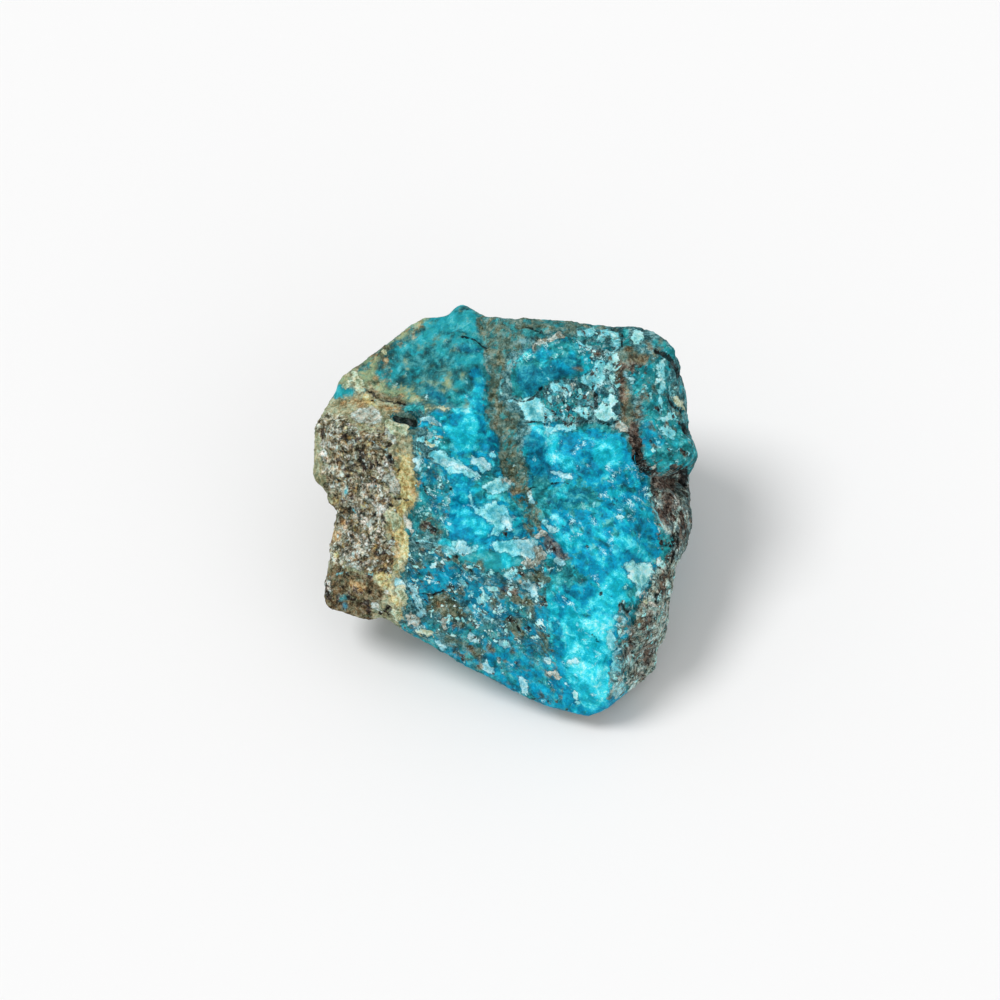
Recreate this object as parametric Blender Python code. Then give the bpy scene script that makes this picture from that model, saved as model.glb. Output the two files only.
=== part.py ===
"""A rough chunk of chrysocolla on its country rock, broken from a seam: one stone, standing on its underside.

The stone's show face looks along W, which rises FACE_RISE degrees above the ground towards -Y. U runs to the
right across that face and V runs up it. The stone is bounded by an outline as seen along W and by flat breaks,
then ledges, cracks, hollows and swellings are worked into it, and last come the chips of a hackly break. Every
point of its surface is found along one ray from the stone's heart, so it can't fold over itself. Lengths are in
millimetres.
"""

import math

import bmesh
import bpy
import numpy as np
from mathutils import Vector, kdtree, noise

MILLIMETRE = 0.001

# The stone's colour, roughness and metallic value
COLOUR = (0.045, 0.31, 0.38, 1.0)
ROUGHNESS = 0.55
METALLIC = 0.0

# The show face's directions
FACE_RISE = 55.0
RISE = math.radians(FACE_RISE)
U = (1.0, 0.0, 0.0)
V = (0.0, math.sin(RISE), math.cos(RISE))
W = (0.0, -math.cos(RISE), math.sin(RISE))

HEART_HEIGHT = 16.0  # above the ground
CUT_AWAY = 7.0  # the stone is made this much deeper than the ground, and then cut off flat
SNAP = 0.12  # corners this near to the ground are put on it before the cut
WELD = 0.001  # how near to the ground a point counts as on it, for the cut
ROUNDING = 70.0  # a higher number leaves the edges between the breaks sharper
TRIANGLES = 11400
DECIMALS = 4  # to which the points are rounded, in millimetres
SEED = 7

# The stone starts as a fine ball, flattened and moved along W, so that more of its points are on the show face
BALL_DIVISIONS = 7
BALL_FLATNESS = 0.72
BALL_SHIFT = 0.2

# The outline seen along W, as (u, v), anticlockwise from the right
OUTLINE = (
    (31.8, 0.0), (32.4, 3.2), (32.7, 6.2), (32.7, 7.6), (32.1, 10.4), (31.3, 14.0), (31.0, 17.2),
    (30.3, 20.5), (30.2, 23.2), (29.6, 25.6), (26.2, 27.7), (22.8, 28.9), (18.0, 29.0), (13.4, 29.4),
    (8.8, 30.0), (1.8, 30.1), (-2.5, 30.4), (-4.4, 31.4), (-5.7, 32.3), (-6.8, 32.5), (-8.7, 30.8),
    (-12.4, 30.6), (-14.7, 29.3), (-17.8, 26.9), (-21.6, 24.0), (-26.5, 20.4), (-27.3, 18.6), (-29.0, 15.0),
    (-30.7, 11.6), (-30.8, 4.6), (-30.4, 3.2), (-29.0, 2.0), (-28.1, -0.9), (-27.0, -1.9), (-28.3, -8.2),
    (-29.4, -16.4), (-28.7, -18.2), (-24.8, -19.1), (-21.6, -19.9), (-19.2, -19.2), (-17.6, -20.3),
    (-14.4, -22.4), (-10.8, -24.4), (-7.0, -26.9), (-3.1, -28.7), (1.3, -31.0), (4.1, -32.6), (8.5, -34.3),
    (14.3, -35.7), (17.4, -34.6), (23.0, -30.5), (25.9, -28.1), (26.1, -24.8), (27.5, -23.2), (28.0, -17.0),
    (29.2, -11.0), (30.8, -8.4), (32.1, -4.4),
)
UNDERCUT = 0.25  # behind the outline's rim the sides draw in by this much for each millimetre of depth
NOTCH_START = 0.5  # the outline's notches fade out between this depth
NOTCH_DEPTH = 9.0  # and this one
NOTCH_FILL = 0.4  # and are filled no further than this past the outline
NOTCH_SPAN = 0.32  # over this angle to each side of a notch, in radians
NOTCH_SAMPLES = 17
RIM_START = 0.93  # the rim is where a point reaches this share of the outline
RIM_DEPTHS = (1.0, 5.0)  # and less deep than these, between which it fades
RIM_CALM = 0.8  # how much of the relief is left out at the rim, which has its own roughness
AXIS_GUARD = 0.05  # keeps the depth finite along W itself

# The flat breaks: lean from W, direction across the face (0 is U, 90 is V), distance from the heart
SHOW_BREAKS = {
    "show face": (9.0, 95.0, 14.8),
    "lower strip": (26.0, 243.0, 20.1),
    "left block": (30.0, 183.0, 20.3),
    "upper left": (32.0, 125.0, 20.6),
    "top strip": (45.0, 80.0, 27.9),
    "right lobe": (34.0, 5.0, 24.6),
    "right wall": (60.0, 5.0, 30.4),
    "lower right wall": (60.0, 329.0, 34.0),
}
HIDDEN_BREAKS = {
    "back": (124.0, 93.0, 24.4),
    "back left": (114.0, 139.0, 30.6),
    "back right": (104.0, 38.0, 34.5),
    "left flank": (106.0, 194.0, 29.6),
    "right flank": (112.0, 352.0, 29.6),
    "front left": (112.0, 240.0, 26.0),
}

# Steps in the show face, as (path, throw): to the left of the path, as it is followed, the ground stands higher
LEDGES = {
    "lower strip's top edge": (
        ((-17.0, -4.8), (-14.6, -6.6), (-12.3, -6.9), (-9.5, -7.3), (-7.1, -9.4), (-5.3, -11.8),
         (-0.6, -12.9), (3.6, -13.9), (7.8, -13.6), (12.0, -15.0)), 1.3),
    "lobe over the right wall": (
        ((22.6, 8.2), (24.9, 3.9), (27.5, 4.4), (29.6, 5.3), (34.0, 4.4)), 3.0),
    "left edge of the swelling": (
        ((19.5, 12.4), (17.6, 11.4), (13.4, 9.7), (11.6, 6.9), (12.0, 4.6), (7.8, 2.3), (5.0, 1.3),
         (4.1, -1.5)), 0.9),
    "above the triangular hollow": (
        ((5.8, -2.6), (7.4, -4.3), (9.2, -6.2), (11.8, -9.2), (13.2, -11.2)), 1.3),
    "lower edge of the upper island": (
        ((0.9, 24.0), (1.3, 21.0), (2.7, 17.7), (5.5, 16.5), (7.8, 18.2), (10.2, 19.3), (13.4, 19.1),
         (16.5, 20.4)), 1.0),
    "step in the left block": (
        ((-31.8, 2.6), (-30.2, 2.3), (-28.2, 1.3), (-26.3, 3.2), (-22.6, 4.6), (-19.6, 3.9)), 1.4),
    "ochre rim": (
        ((-15.2, -5.2), (-14.4, -1.5), (-14.0, 3.2), (-14.6, 7.0), (-16.2, 10.8), (-15.6, 13.0)), 0.8),
    "foot of the left block": (
        ((-29.6, -9.6), (-25.4, -11.4), (-21.6, -12.8), (-18.6, -15.4), (-17.6, -19.0)), 0.7),
    "lower right ridge": (
        ((23.6, -15.4), (20.8, -17.8), (21.9, -20.4), (21.0, -24.6), (18.8, -28.6), (17.6, -33.0)), -0.8),
    "across the lower strip": (
        ((-11.5, -13.4), (-5.0, -17.8), (1.0, -20.4), (6.2, -24.8), (9.0, -30.5)), 0.7),
}
STEP_HALF_WIDTH = 0.35
STEP_REACH = 6.5  # how far from the step the ground comes back to its level
PATH_TAPER = 2.5  # a ledge or crack fades over this length at its ends
PATH_TAPER_SHARE = 1.0 / 3.0  # or over this share of its length where that is less

# Grooves in the show face, as (path, depth, half width)
CRACKS = {
    "behind the left block": (
        ((-24.6, 17.6), (-23.0, 17.5), (-19.8, 16.3), (-17.4, 15.1), (-14.6, 13.5), (-12.0, 12.3)), 1.0, 0.5),
    "above the left block": (
        ((-27.8, 17.6), (-24.9, 18.9), (-22.6, 19.6), (-17.9, 18.2), (-14.6, 16.0)), 0.5, 0.7),
    "olive valley": (
        ((-3.6, 31.0), (-2.4, 26.0), (-1.1, 22.8), (-1.5, 19.1), (-0.6, 15.4), (1.3, 8.8), (2.7, 3.2),
         (5.5, -2.4), (8.2, -8.4)), 1.1, 1.7),
    "gap beside the lobe": (
        ((18.6, 28.0), (19.1, 25.6), (19.5, 21.0), (20.5, 17.2), (21.9, 13.5), (22.3, 8.8), (22.8, 6.9),
         (24.9, 4.3), (26.4, 3.6)), 1.7, 1.0),
    "under the lobe": (
        ((22.0, 8.6), (22.8, 6.6), (24.9, 3.8), (27.5, 3.8), (29.6, 4.6), (32.6, 3.6)), 2.0, 0.6),
    "top strip": (
        ((0.6, 29.9), (2.7, 29.6), (7.4, 28.0), (13.4, 26.8), (19.5, 25.9), (25.6, 24.9),
         (28.2, 22.0)), 1.0, 0.45),
    "under the speckled band": (
        ((4.0, 12.8), (5.5, 12.5), (8.8, 12.1), (13.4, 12.1), (18.1, 12.5), (22.6, 13.2)), 0.9, 0.5),
    "upper left fold": (((-9.5, 28.9), (-7.1, 28.0), (-2.9, 25.6), (-0.8, 23.4)), 0.8, 0.6),
    "upper left pool": (((-16.0, 27.4), (-14.6, 26.1), (-13.2, 24.0), (-9.9, 22.4), (-7.0, 22.2)), 0.5, 0.6),
    "right ridge": (((19.9, -17.0), (20.6, -17.9), (21.9, -19.5), (22.2, -22.5), (21.0, -25.6)), 1.6, 0.4),
    "left block": (((-18.4, 2.0), (-17.4, 1.3), (-15.1, -0.1), (-14.2, -0.4)), 0.8, 0.35),
    "lower strip": (((8.6, -16.6), (12.0, -20.4), (15.8, -24.0), (17.6, -26.6)), 0.5, 0.4),
    "between the lower patches": (((-13.0, -9.0), (-9.6, -12.6), (-7.6, -17.4), (-8.2, -21.6)), 0.5, 0.6),
}

# Hollows in the show face, as (u, v, half length, half width, turn in degrees, depth)
HOLLOWS = {
    "black pocket": (-16.0, 13.3, 1.7, 0.8, -15.0, 1.9),
    "triangular hollow": (9.2, -8.2, 2.5, 1.3, -40.0, 1.7),
    "hollow under the lobe": (31.2, 3.6, 2.0, 1.7, 70.0, 2.4),
    "pit in the swelling": (14.6, -7.8, 0.7, 0.5, 80.0, 1.2),
    "pit below it": (16.7, -15.5, 0.6, 0.45, 20.0, 0.9),
    "slit by the ridge": (15.8, -23.0, 1.2, 0.45, -40.0, 0.9),
    "pit in the cloud": (1.0, -5.7, 0.9, 0.6, 10.0, 0.9),
    "dark patch of the lower strip": (3.6, -20.8, 1.9, 0.9, -30.0, 1.0),
    "blue pool": (-5.9, -2.6, 3.6, 2.7, 0.0, 0.9),
    "teal pool": (-16.6, 21.6, 5.0, 2.8, 20.0, 0.9),
    "bay above the foot": (-20.4, -6.0, 3.0, 4.4, 20.0, 0.8),
    "basin at the right": (22.4, -5.0, 2.6, 4.5, 10.0, 0.6),
    "lower basin": (-3.0, -17.0, 4.4, 2.2, -30.0, 0.6),
}
# Swellings of the show face, as (u, v, half length, half width, turn in degrees, height)
SWELLINGS = {
    "blue globe": (5.6, 9.4, 1.9, 2.5, 15.0, 1.3),
    "upper island": (8.0, 21.2, 5.0, 3.6, 10.0, 0.9),
    "great blue swelling": (18.2, 5.4, 5.2, 4.4, -20.0, 1.0),
    "middle of the swelling": (20.0, -4.5, 5.0, 4.0, 60.0, 0.7),
    "lower right swelling": (15.6, -28.6, 5.4, 4.2, -60.0, 1.2),
    "upper cloud": (-0.6, 2.4, 2.6, 1.3, -10.0, 0.8),
    "middle cloud": (0.2, -2.2, 2.4, 1.7, -40.0, 0.8),
    "lower cloud": (3.0, -8.2, 3.4, 2.0, 0.0, 0.7),
    "left cyan knob": (-7.6, 8.0, 3.4, 2.8, -30.0, 0.9),
    "white vein knob": (-12.0, 9.5, 1.8, 2.2, 0.0, 0.6),
    "crust of the left block": (-24.0, 10.0, 5.6, 5.2, 0.0, 1.3),
    "knob at the foot": (-25.0, -15.0, 4.6, 3.0, -10.0, 1.1),
    "peak": (-6.2, 31.2, 1.9, 1.9, 0.0, 0.7),
    "teal lobe": (27.2, 16.0, 3.4, 8.0, -8.0, 1.3),
    "lobe's foot": (28.6, 7.6, 3.2, 2.4, 0.0, 0.9),
    "white knob of the speckled band": (18.3, 14.6, 2.0, 1.5, 0.0, 0.7),
    "wall's shoulder": (28.4, -4.4, 2.4, 3.2, 0.0, 0.8),
    "wall's foot": (24.4, -22.0, 2.2, 3.4, -15.0, 0.9),
}

MOUND_FLATNESS = 1.4  # of the tops of hollows and swellings
MOUND_FALL = 0.7
SHOWN_HEIGHT = 4.0  # the hidden sides' relief gives way to the show face's from the heart up to this height

# Uneven noise moves the show face's ledges and cracks, as (size, strength)
SHOW_WANDER = ((3.0, 0.45), (1.2, 0.2))

# Cracks and benches on the hidden sides lie in planes: lean, direction, distance, depth or throw
HIDDEN_CRACKS = ((78.0, 30.0, 6.0, 1.5), (40.0, 250.0, -11.0, 1.4), (35.0, 100.0, -4.0, 1.2))
HIDDEN_BENCHES = ((62.0, 75.0, 2.0, 1.4), (30.0, 300.0, -9.0, 1.2), (80.0, 5.0, -13.0, 1.1))
HIDDEN_CRACK_HALF_WIDTH = 0.6
HIDDEN_CRACK_ENDS = (-0.2, 0.3)  # a crack opens where the slow noise rises through these values
HIDDEN_STEP_HALF_WIDTH = 0.5
HIDDEN_STEP_REACH = 8.0
HIDDEN_SLOW = (11.0, 2.0)  # the noise that bends them, as (size, strength)
HIDDEN_QUICK = (2.5, 0.4)
HIDDEN_SWELL = 1.6  # the height of the hidden sides' broad unevenness
HIDDEN_DRAW_IN = 0.9

# Chips of the hackly break, as (size, slope, lift)
CHIPS = ((11.0, 0.08, 0.3), (4.8, 0.10, 0.15), (2.3, 0.12, 0.08))
CHIP_SPACE = 45.0  # chips fill a cube of this half size
CHIP_BLEND = 0.22  # share of a chip's size over which it meets the next
CHIP_WANDER = (0.6, 0.12)  # the noise that bends the seams between chips, as shares of their size
GRAIN = (1.6, 0.25)  # the finest unevenness, as (size, strength)


def smooth(low, high, value):
    """0 below low, 1 above high, with a smooth rise between."""
    share = np.clip((value - low) / (high - low), 0.0, 1.0)
    return share * share * (3.0 - 2.0 * share)


def break_normal(lean, toward):
    """The unit normal, in (u, v, w), of a break with this lean and direction."""
    lean, toward = math.radians(lean), math.radians(toward)
    return np.array((math.sin(lean) * math.cos(toward), math.sin(lean) * math.sin(toward), math.cos(lean)))


def rays(ball):
    """Unit directions from the heart, in (u, v, w), through the points of a ball."""
    through = ball * np.array((1.0, 1.0, BALL_FLATNESS)) + np.array((0.0, 0.0, BALL_SHIFT))
    return through / np.linalg.norm(through, axis=1, keepdims=True)


def outline_radius(angle):
    """How far the outline lies from the heart at these angles across the face."""
    corners = np.array(OUTLINE)
    bearings = np.unwrap(np.arctan2(corners[:, 1], corners[:, 0]))
    after = np.searchsorted(bearings, bearings[0] + np.mod(angle - bearings[0], 2 * math.pi), side="right")
    start = corners[(after - 1) % len(corners)]
    edge = corners[after % len(corners)] - start
    across = start[:, 0] * edge[:, 1] - start[:, 1] * edge[:, 0]
    return across / (np.cos(angle) * edge[:, 1] - np.sin(angle) * edge[:, 0])


def face_height(u, v):
    """The height w of the show side's breaks over a point of the face."""
    heights = []
    for lean, toward, distance in SHOW_BREAKS.values():
        normal = break_normal(lean, toward)
        heights.append((distance - normal[0] * u - normal[1] * v) / normal[2])
    return np.min(heights, axis=0)


def rough_reach(directions):
    """How far the outline and the breaks let the stone reach, and how near to the rim each point is."""
    shares = [-(directions @ np.array((U[2], V[2], W[2]))) / (HEART_HEIGHT + CUT_AWAY)]
    for lean, toward, distance in (*SHOW_BREAKS.values(), *HIDDEN_BREAKS.values()):
        shares.append(directions @ break_normal(lean, toward) / distance)
    across = np.hypot(directions[:, 0], directions[:, 1])
    angle = np.arctan2(directions[:, 1], directions[:, 0])
    radius = outline_radius(angle)
    rim = face_height(radius * np.cos(angle), radius * np.sin(angle))
    depth = rim - radius * directions[:, 2] / np.maximum(across, AXIS_GUARD)
    turns = np.linspace(-NOTCH_SPAN, NOTCH_SPAN, NOTCH_SAMPLES)
    plain = np.mean([outline_radius(angle + turn) for turn in turns], axis=0)
    filled = np.minimum(plain, radius + NOTCH_FILL)
    radius = radius + (filled - radius) * smooth(NOTCH_START, NOTCH_DEPTH, depth)
    side_share = (across - UNDERCUT * directions[:, 2]) / (radius - UNDERCUT * rim)
    shares.append(side_share)
    reach = np.sum(np.maximum(shares, 0.0) ** ROUNDING, axis=0) ** (-1.0 / ROUNDING)
    rim_nearness = smooth(RIM_START, 1.0, reach * side_share) * (1.0 - smooth(*RIM_DEPTHS, depth))
    return reach, rim_nearness


def wander(points, scale, seed):
    """Smooth noise vectors, about -1 to 1, that turn over once in about `scale` millimetres."""
    start = Vector((seed * 17.3, seed * 5.1, seed * 9.7))
    return np.array([noise.noise_vector(Vector(point) / scale + start) for point in points])


def follow(places, path):
    """Signed distance to a path (left is positive), and how much of its effect is left near its ends."""
    path = np.array(path)
    nearest = np.full(len(places), 1e9)
    signed = np.zeros(len(places))
    along = np.zeros(len(places))
    walked = 0.0
    for start, end in zip(path[:-1], path[1:]):
        edge = end - start
        length = np.linalg.norm(edge)
        away = places - start
        share = np.clip(away @ edge / length**2, 0.0, 1.0)
        distance = np.linalg.norm(away - share[:, None] * edge, axis=1)
        closer = distance < nearest
        side = np.sign(edge[0] * away[:, 1] - edge[1] * away[:, 0])
        nearest[closer] = distance[closer]
        signed[closer] = (distance * side)[closer]
        along[closer] = (walked + share * length)[closer]
        walked += length
    taper = min(PATH_TAPER, walked * PATH_TAPER_SHARE)
    return signed, smooth(0.0, taper, np.minimum(along, walked - along))


def mound(places, u, v, half_length, half_width, turn):
    """A round-topped hill, 1 at its middle and 0 outside twice its half sizes."""
    turn = math.radians(turn)
    away = places - np.array((u, v))
    along = (away[:, 0] * math.cos(turn) + away[:, 1] * math.sin(turn)) / half_length
    across = (away[:, 1] * math.cos(turn) - away[:, 0] * math.sin(turn)) / half_width
    return np.exp(-((along**2 + across**2) ** MOUND_FLATNESS) * MOUND_FALL)


def show_relief(points):
    """The ledges, cracks, hollows and swellings of the show face."""
    places = points[:, :2]
    for seed, (size, strength) in enumerate(SHOW_WANDER, start=1):
        places = places + strength * wander(points, size, seed)[:, :2]
    relief = np.zeros(len(points))
    for path, throw in LEDGES.values():
        signed, left = follow(places, path)
        step = smooth(-STEP_HALF_WIDTH, STEP_HALF_WIDTH, signed) - 0.5
        relief += throw * step * left * np.exp(-((signed / STEP_REACH) ** 2))
    for path, depth, half_width in CRACKS.values():
        signed, left = follow(places, path)
        relief -= depth * left * np.exp(-((signed / half_width) ** 2))
    for *shape, depth in HOLLOWS.values():
        relief -= depth * mound(places, *shape)
    for *shape, height in SWELLINGS.values():
        relief += height * mound(places, *shape)
    return relief


def hidden_relief(points):
    """The cracks and benches of the back and the sides."""
    slow_size, slow_strength = HIDDEN_SLOW
    quick_size, quick_strength = HIDDEN_QUICK
    slow = wander(points, slow_size, 3)
    wandered = points + slow_strength * slow + quick_strength * wander(points, quick_size, 4)
    relief = HIDDEN_SWELL * slow[:, 1] - HIDDEN_DRAW_IN
    for number, (lean, toward, distance, depth) in enumerate(HIDDEN_CRACKS):
        away = wandered @ break_normal(lean, toward) - distance
        opened = smooth(*HIDDEN_CRACK_ENDS, slow[:, number])
        relief -= depth * opened * np.exp(-((away / HIDDEN_CRACK_HALF_WIDTH) ** 2))
    for lean, toward, distance, throw in HIDDEN_BENCHES:
        away = wandered @ break_normal(lean, toward) - distance
        relief += throw * np.tanh(away / HIDDEN_STEP_HALF_WIDTH) * np.exp(-((away / HIDDEN_STEP_REACH) ** 2))
    return relief


def chip_relief(points, size, slope, lift):
    """Small flat facets, each tilted and lifted its own way."""
    chance = np.random.default_rng(SEED + int(size * 10))
    steps = [np.arange(-CHIP_SPACE, CHIP_SPACE + size, size)] * 3
    middles = np.stack(np.meshgrid(*steps, indexing="ij"), axis=-1).reshape(-1, 3)
    middles += chance.uniform(-0.5, 0.5, middles.shape) * size
    tilts = chance.normal(0.0, slope, middles.shape)
    lifts = chance.uniform(-lift, lift, len(middles))
    tree = kdtree.KDTree(len(middles))
    for number, middle in enumerate(middles):
        tree.insert(middle, number)
    tree.balance()
    seam_size, seam_strength = CHIP_WANDER
    relief = np.zeros(len(points))
    for number, point in enumerate(points + seam_strength * size * wander(points, size * seam_size, 5)):
        (_, first, near), (_, second, far) = tree.find_n(point, 2)
        heights = [tilts[cell] @ (point - middles[cell]) + lifts[cell] for cell in (first, second)]
        share = 0.5 + 0.5 * min(1.0, (far - near) / (CHIP_BLEND * size))
        relief[number] = heights[0] * share + heights[1] * (1.0 - share)
    return relief


def stone_points(directions):
    """The stone's surface along each direction from its heart, in (u, v, w)."""
    reach, rim = rough_reach(directions)
    points = directions * reach[:, None]
    shown = smooth(0.0, SHOWN_HEIGHT, points[:, 2])
    relief = shown * show_relief(points) + (1.0 - shown) * hidden_relief(points)
    for size, slope, lift in CHIPS:
        relief += chip_relief(points, size, slope, lift)
    grain_size, grain_strength = GRAIN
    relief += grain_strength * wander(points, grain_size, 6)[:, 0]
    return directions * (reach + relief * (1.0 - RIM_CALM * rim))[:, None]


def fine_mesh():
    """A closed mesh of the uncut stone in millimetres: a ball of small triangles pushed out to its surface."""
    surface = bmesh.new()
    bmesh.ops.create_icosphere(surface, subdivisions=BALL_DIVISIONS, radius=1.0)
    ball = np.array([vertex.co for vertex in surface.verts])
    places = np.round(stone_points(rays(ball)) @ np.array((U, V, W)), DECIMALS)
    for vertex, place in zip(surface.verts, places):
        vertex.co = place
    bmesh.ops.recalc_face_normals(surface, faces=surface.faces)
    mesh = bpy.data.meshes.new("fine")
    surface.to_mesh(mesh)
    surface.free()
    return mesh


def faceted(mesh):
    """The same surface in few triangles, most of them where it bends."""
    fine = bpy.data.objects.new("fine", mesh)
    bpy.context.scene.collection.objects.link(fine)
    decimate = fine.modifiers.new("decimate", "DECIMATE")
    decimate.ratio = TRIANGLES / len(mesh.polygons)
    decimate.use_collapse_triangulate = True
    result = bpy.data.meshes.new_from_object(fine.evaluated_get(bpy.context.evaluated_depsgraph_get()))
    bpy.data.objects.remove(fine)
    return result


def stand_on_ground(mesh):
    """Cut the stone off flat at the ground, and put its bounding box's middle over the origin, in metres."""
    surface = bmesh.new()
    surface.from_mesh(mesh)
    for vertex in surface.verts:
        vertex.co.z += HEART_HEIGHT
        if abs(vertex.co.z) < SNAP:
            vertex.co.z = 0.0
    geometry = [*surface.verts, *surface.edges, *surface.faces]
    cut = bmesh.ops.bisect_plane(
        surface, geom=geometry, dist=WELD, plane_co=(0, 0, 0), plane_no=(0, 0, -1), clear_outer=True)
    rim = [part for part in cut["geom_cut"] if isinstance(part, bmesh.types.BMEdge)]
    bmesh.ops.holes_fill(surface, edges=rim)
    bmesh.ops.triangulate(surface, faces=[face for face in surface.faces if len(face.verts) > 3])
    bmesh.ops.recalc_face_normals(surface, faces=surface.faces)
    low = [min(vertex.co[axis] for vertex in surface.verts) for axis in range(3)]
    high = [max(vertex.co[axis] for vertex in surface.verts) for axis in range(3)]
    middle = Vector(((low[0] + high[0]) / 2, (low[1] + high[1]) / 2, 0.0))
    for vertex in surface.verts:
        vertex.co = (vertex.co - middle) * MILLIMETRE
    surface.to_mesh(mesh)
    surface.free()
    print("The heart stands at", round(-middle.x, 4), round(-middle.y, 4), HEART_HEIGHT)


def stone_material():
    """The stone's overall colour and finish."""
    material = bpy.data.materials.new("chrysocolla")
    material.use_nodes = True
    shader = material.node_tree.nodes["Principled BSDF"]
    shader.inputs["Base Color"].default_value = COLOUR
    shader.inputs["Roughness"].default_value = ROUGHNESS
    shader.inputs["Metallic"].default_value = METALLIC
    return material


def main():
    for leftover in list(bpy.data.objects):
        bpy.data.objects.remove(leftover)
    noise.seed_set(SEED)
    mesh = faceted(fine_mesh())
    stand_on_ground(mesh)
    mesh.name = "stone"
    mesh.materials.append(stone_material())
    stone = bpy.data.objects.new("stone", mesh)
    bpy.context.scene.collection.objects.link(stone)


main()
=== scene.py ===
"""The finished look of a rough chunk of chrysocolla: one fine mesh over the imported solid, with one material.

A place on the show face is written as u+vj in millimetres, seen along W from the camera and measured from
the stone's heart: u to the right and v up the face. The stone is painted in coats, one mineral each, and a
later coat covers an earlier one. Every coat is kept on the mesh as a field: how far, in millimetres, a point
lies inside it. The material turns each field into a ragged edge and fills it with that mineral's own grain.
"""

import math

import bmesh
import bpy
import numpy as np
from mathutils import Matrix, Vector, noise
from mathutils.bvhtree import BVHTree

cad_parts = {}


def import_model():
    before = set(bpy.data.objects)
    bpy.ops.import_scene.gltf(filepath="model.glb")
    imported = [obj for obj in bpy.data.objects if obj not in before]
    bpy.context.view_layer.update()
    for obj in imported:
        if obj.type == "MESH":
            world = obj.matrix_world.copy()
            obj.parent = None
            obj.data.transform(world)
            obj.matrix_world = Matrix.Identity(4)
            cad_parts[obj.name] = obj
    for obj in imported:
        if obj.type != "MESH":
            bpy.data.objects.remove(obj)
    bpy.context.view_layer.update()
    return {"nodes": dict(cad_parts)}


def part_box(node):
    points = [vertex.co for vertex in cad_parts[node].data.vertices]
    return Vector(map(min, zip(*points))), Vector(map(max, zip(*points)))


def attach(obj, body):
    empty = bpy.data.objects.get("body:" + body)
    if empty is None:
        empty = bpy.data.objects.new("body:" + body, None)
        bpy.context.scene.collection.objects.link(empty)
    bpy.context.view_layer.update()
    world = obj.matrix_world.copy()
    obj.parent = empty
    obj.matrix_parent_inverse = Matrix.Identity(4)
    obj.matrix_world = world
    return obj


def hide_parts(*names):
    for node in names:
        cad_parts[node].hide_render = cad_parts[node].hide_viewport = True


MM = 0.001  # in metres

# The stone's heart, in metres, and the show face's axes: to its right, up it and out of it
HEART = (-0.00091, 0.0042194, 0.016)
RISE = math.radians(55.0)
U = (1.0, 0.0, 0.0)
V = (0.0, math.sin(RISE), math.cos(RISE))
W = (0.0, -math.cos(RISE), math.sin(RISE))
FACE_AXES = np.array((U, V, W))

# The camera looks at the heart along W. The photograph is 1000 pixels wide, with 6 to the millimetre there
CAMERA_DISTANCE = 550.0
FRAME_WIDTH = 1000.0 / 6.0
SENSOR = 36.0
NEAREST_SHOWN = 0.01  # in metres

# The stage: a floor in metres, an even sky, and the lights: direction along U, V and W, strength and angle
FLOOR_SIZE = 6.0
FLOOR_COLOUR = (0.86, 0.86, 0.86)
FLOOR_ROUGHNESS = 0.9
SKY_STRENGTH = 0.62
LIGHTS = {
    "key": ((-0.55, 0.55, 0.75), 1.7, 25.0),
    "fill": ((0.6, -0.3, 0.7), 0.3, 60.0),
}

# The fine mesh: an even ball of triangles, flattened and moved along W so that most of it falls on the face
BALL_DIVISIONS = 97
BALL_FLATNESS = 0.72
BALL_SHIFT = 0.32
CORNER_DIGITS = 6  # two corners that agree to this many digits are one
SMOOTHING_PASSES = 3
SMOOTHING_STRENGTH = 0.5
GROUND_LEVEL = 0.0001  # in metres; lower points stand on the ground
FOOT_HEIGHT = 0.6  # the fine relief fades out towards the ground over this height

# Noise
SEED = 11
SEED_STEPS = (3.1, 11.7, 7.9)  # how far apart two seeds read it
WANDER_STEPS = (17.3, 5.1, 9.7)  # the same for its vectors
FRACTAL = (0.8, 2.1, 3)  # dimension, lacunarity and octaves
CELL_STEP = 7.3  # keeps the values of neighbouring cells apart

# The fine relief: each grain's size and seed, and its height on a mineral that is wholly knobbly. Chips come
# in two sizes, each with its seed, its share of the height and its change of tone
CHIPS = {2.3: (5, 1.4, 0.16), 1.0: (9, 1.0, 0.24)}
CHIP_HEIGHT = 2.2
RIPPLES = (0.9, 6)
RIPPLE_HEIGHT = 1.2
PEBBLES = (1.1, 7)
PEBBLE_HEIGHT = 1.1
PEBBLE_MEAN = 0.3
LAYERS = (1.3, 8)
LAYER_HEIGHT = 2.0
LAYER_STRETCH = (0.35, 0.35, 1.6)  # how close they lie along U, V and W
LIFT_EASE = 0.1  # a coat's lift sets in over an edge this much wider than its colour's

# The fields
REACH = 1.5  # they are kept between this much inside and outside
FACE_END = (-0.40, -0.15)  # cosines to the camera between which the hidden coats give way to the face's
OUTLINE_WANDERS = ((0.40, 2.5, 1), (0.18, 0.8, 2))  # noise that bends the outlines: shift, size and seed
PATCH_SEED = 40  # of the first scattered patches
PATCH_SLOPE = 1.2  # how steeply a patch's field rises, for each millimetre of its breadth
PART_REACH = 0.5  # patches are looked for this far outside their part
PART_MARGIN = 0.3  # and may pass its outline by this much
FLECK_DEPTHS = (-1.0, 0.8)  # flecks thicken between these depths inside their shape

UNDERCOAT = "deep teal"  # the mineral below all coats

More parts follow.
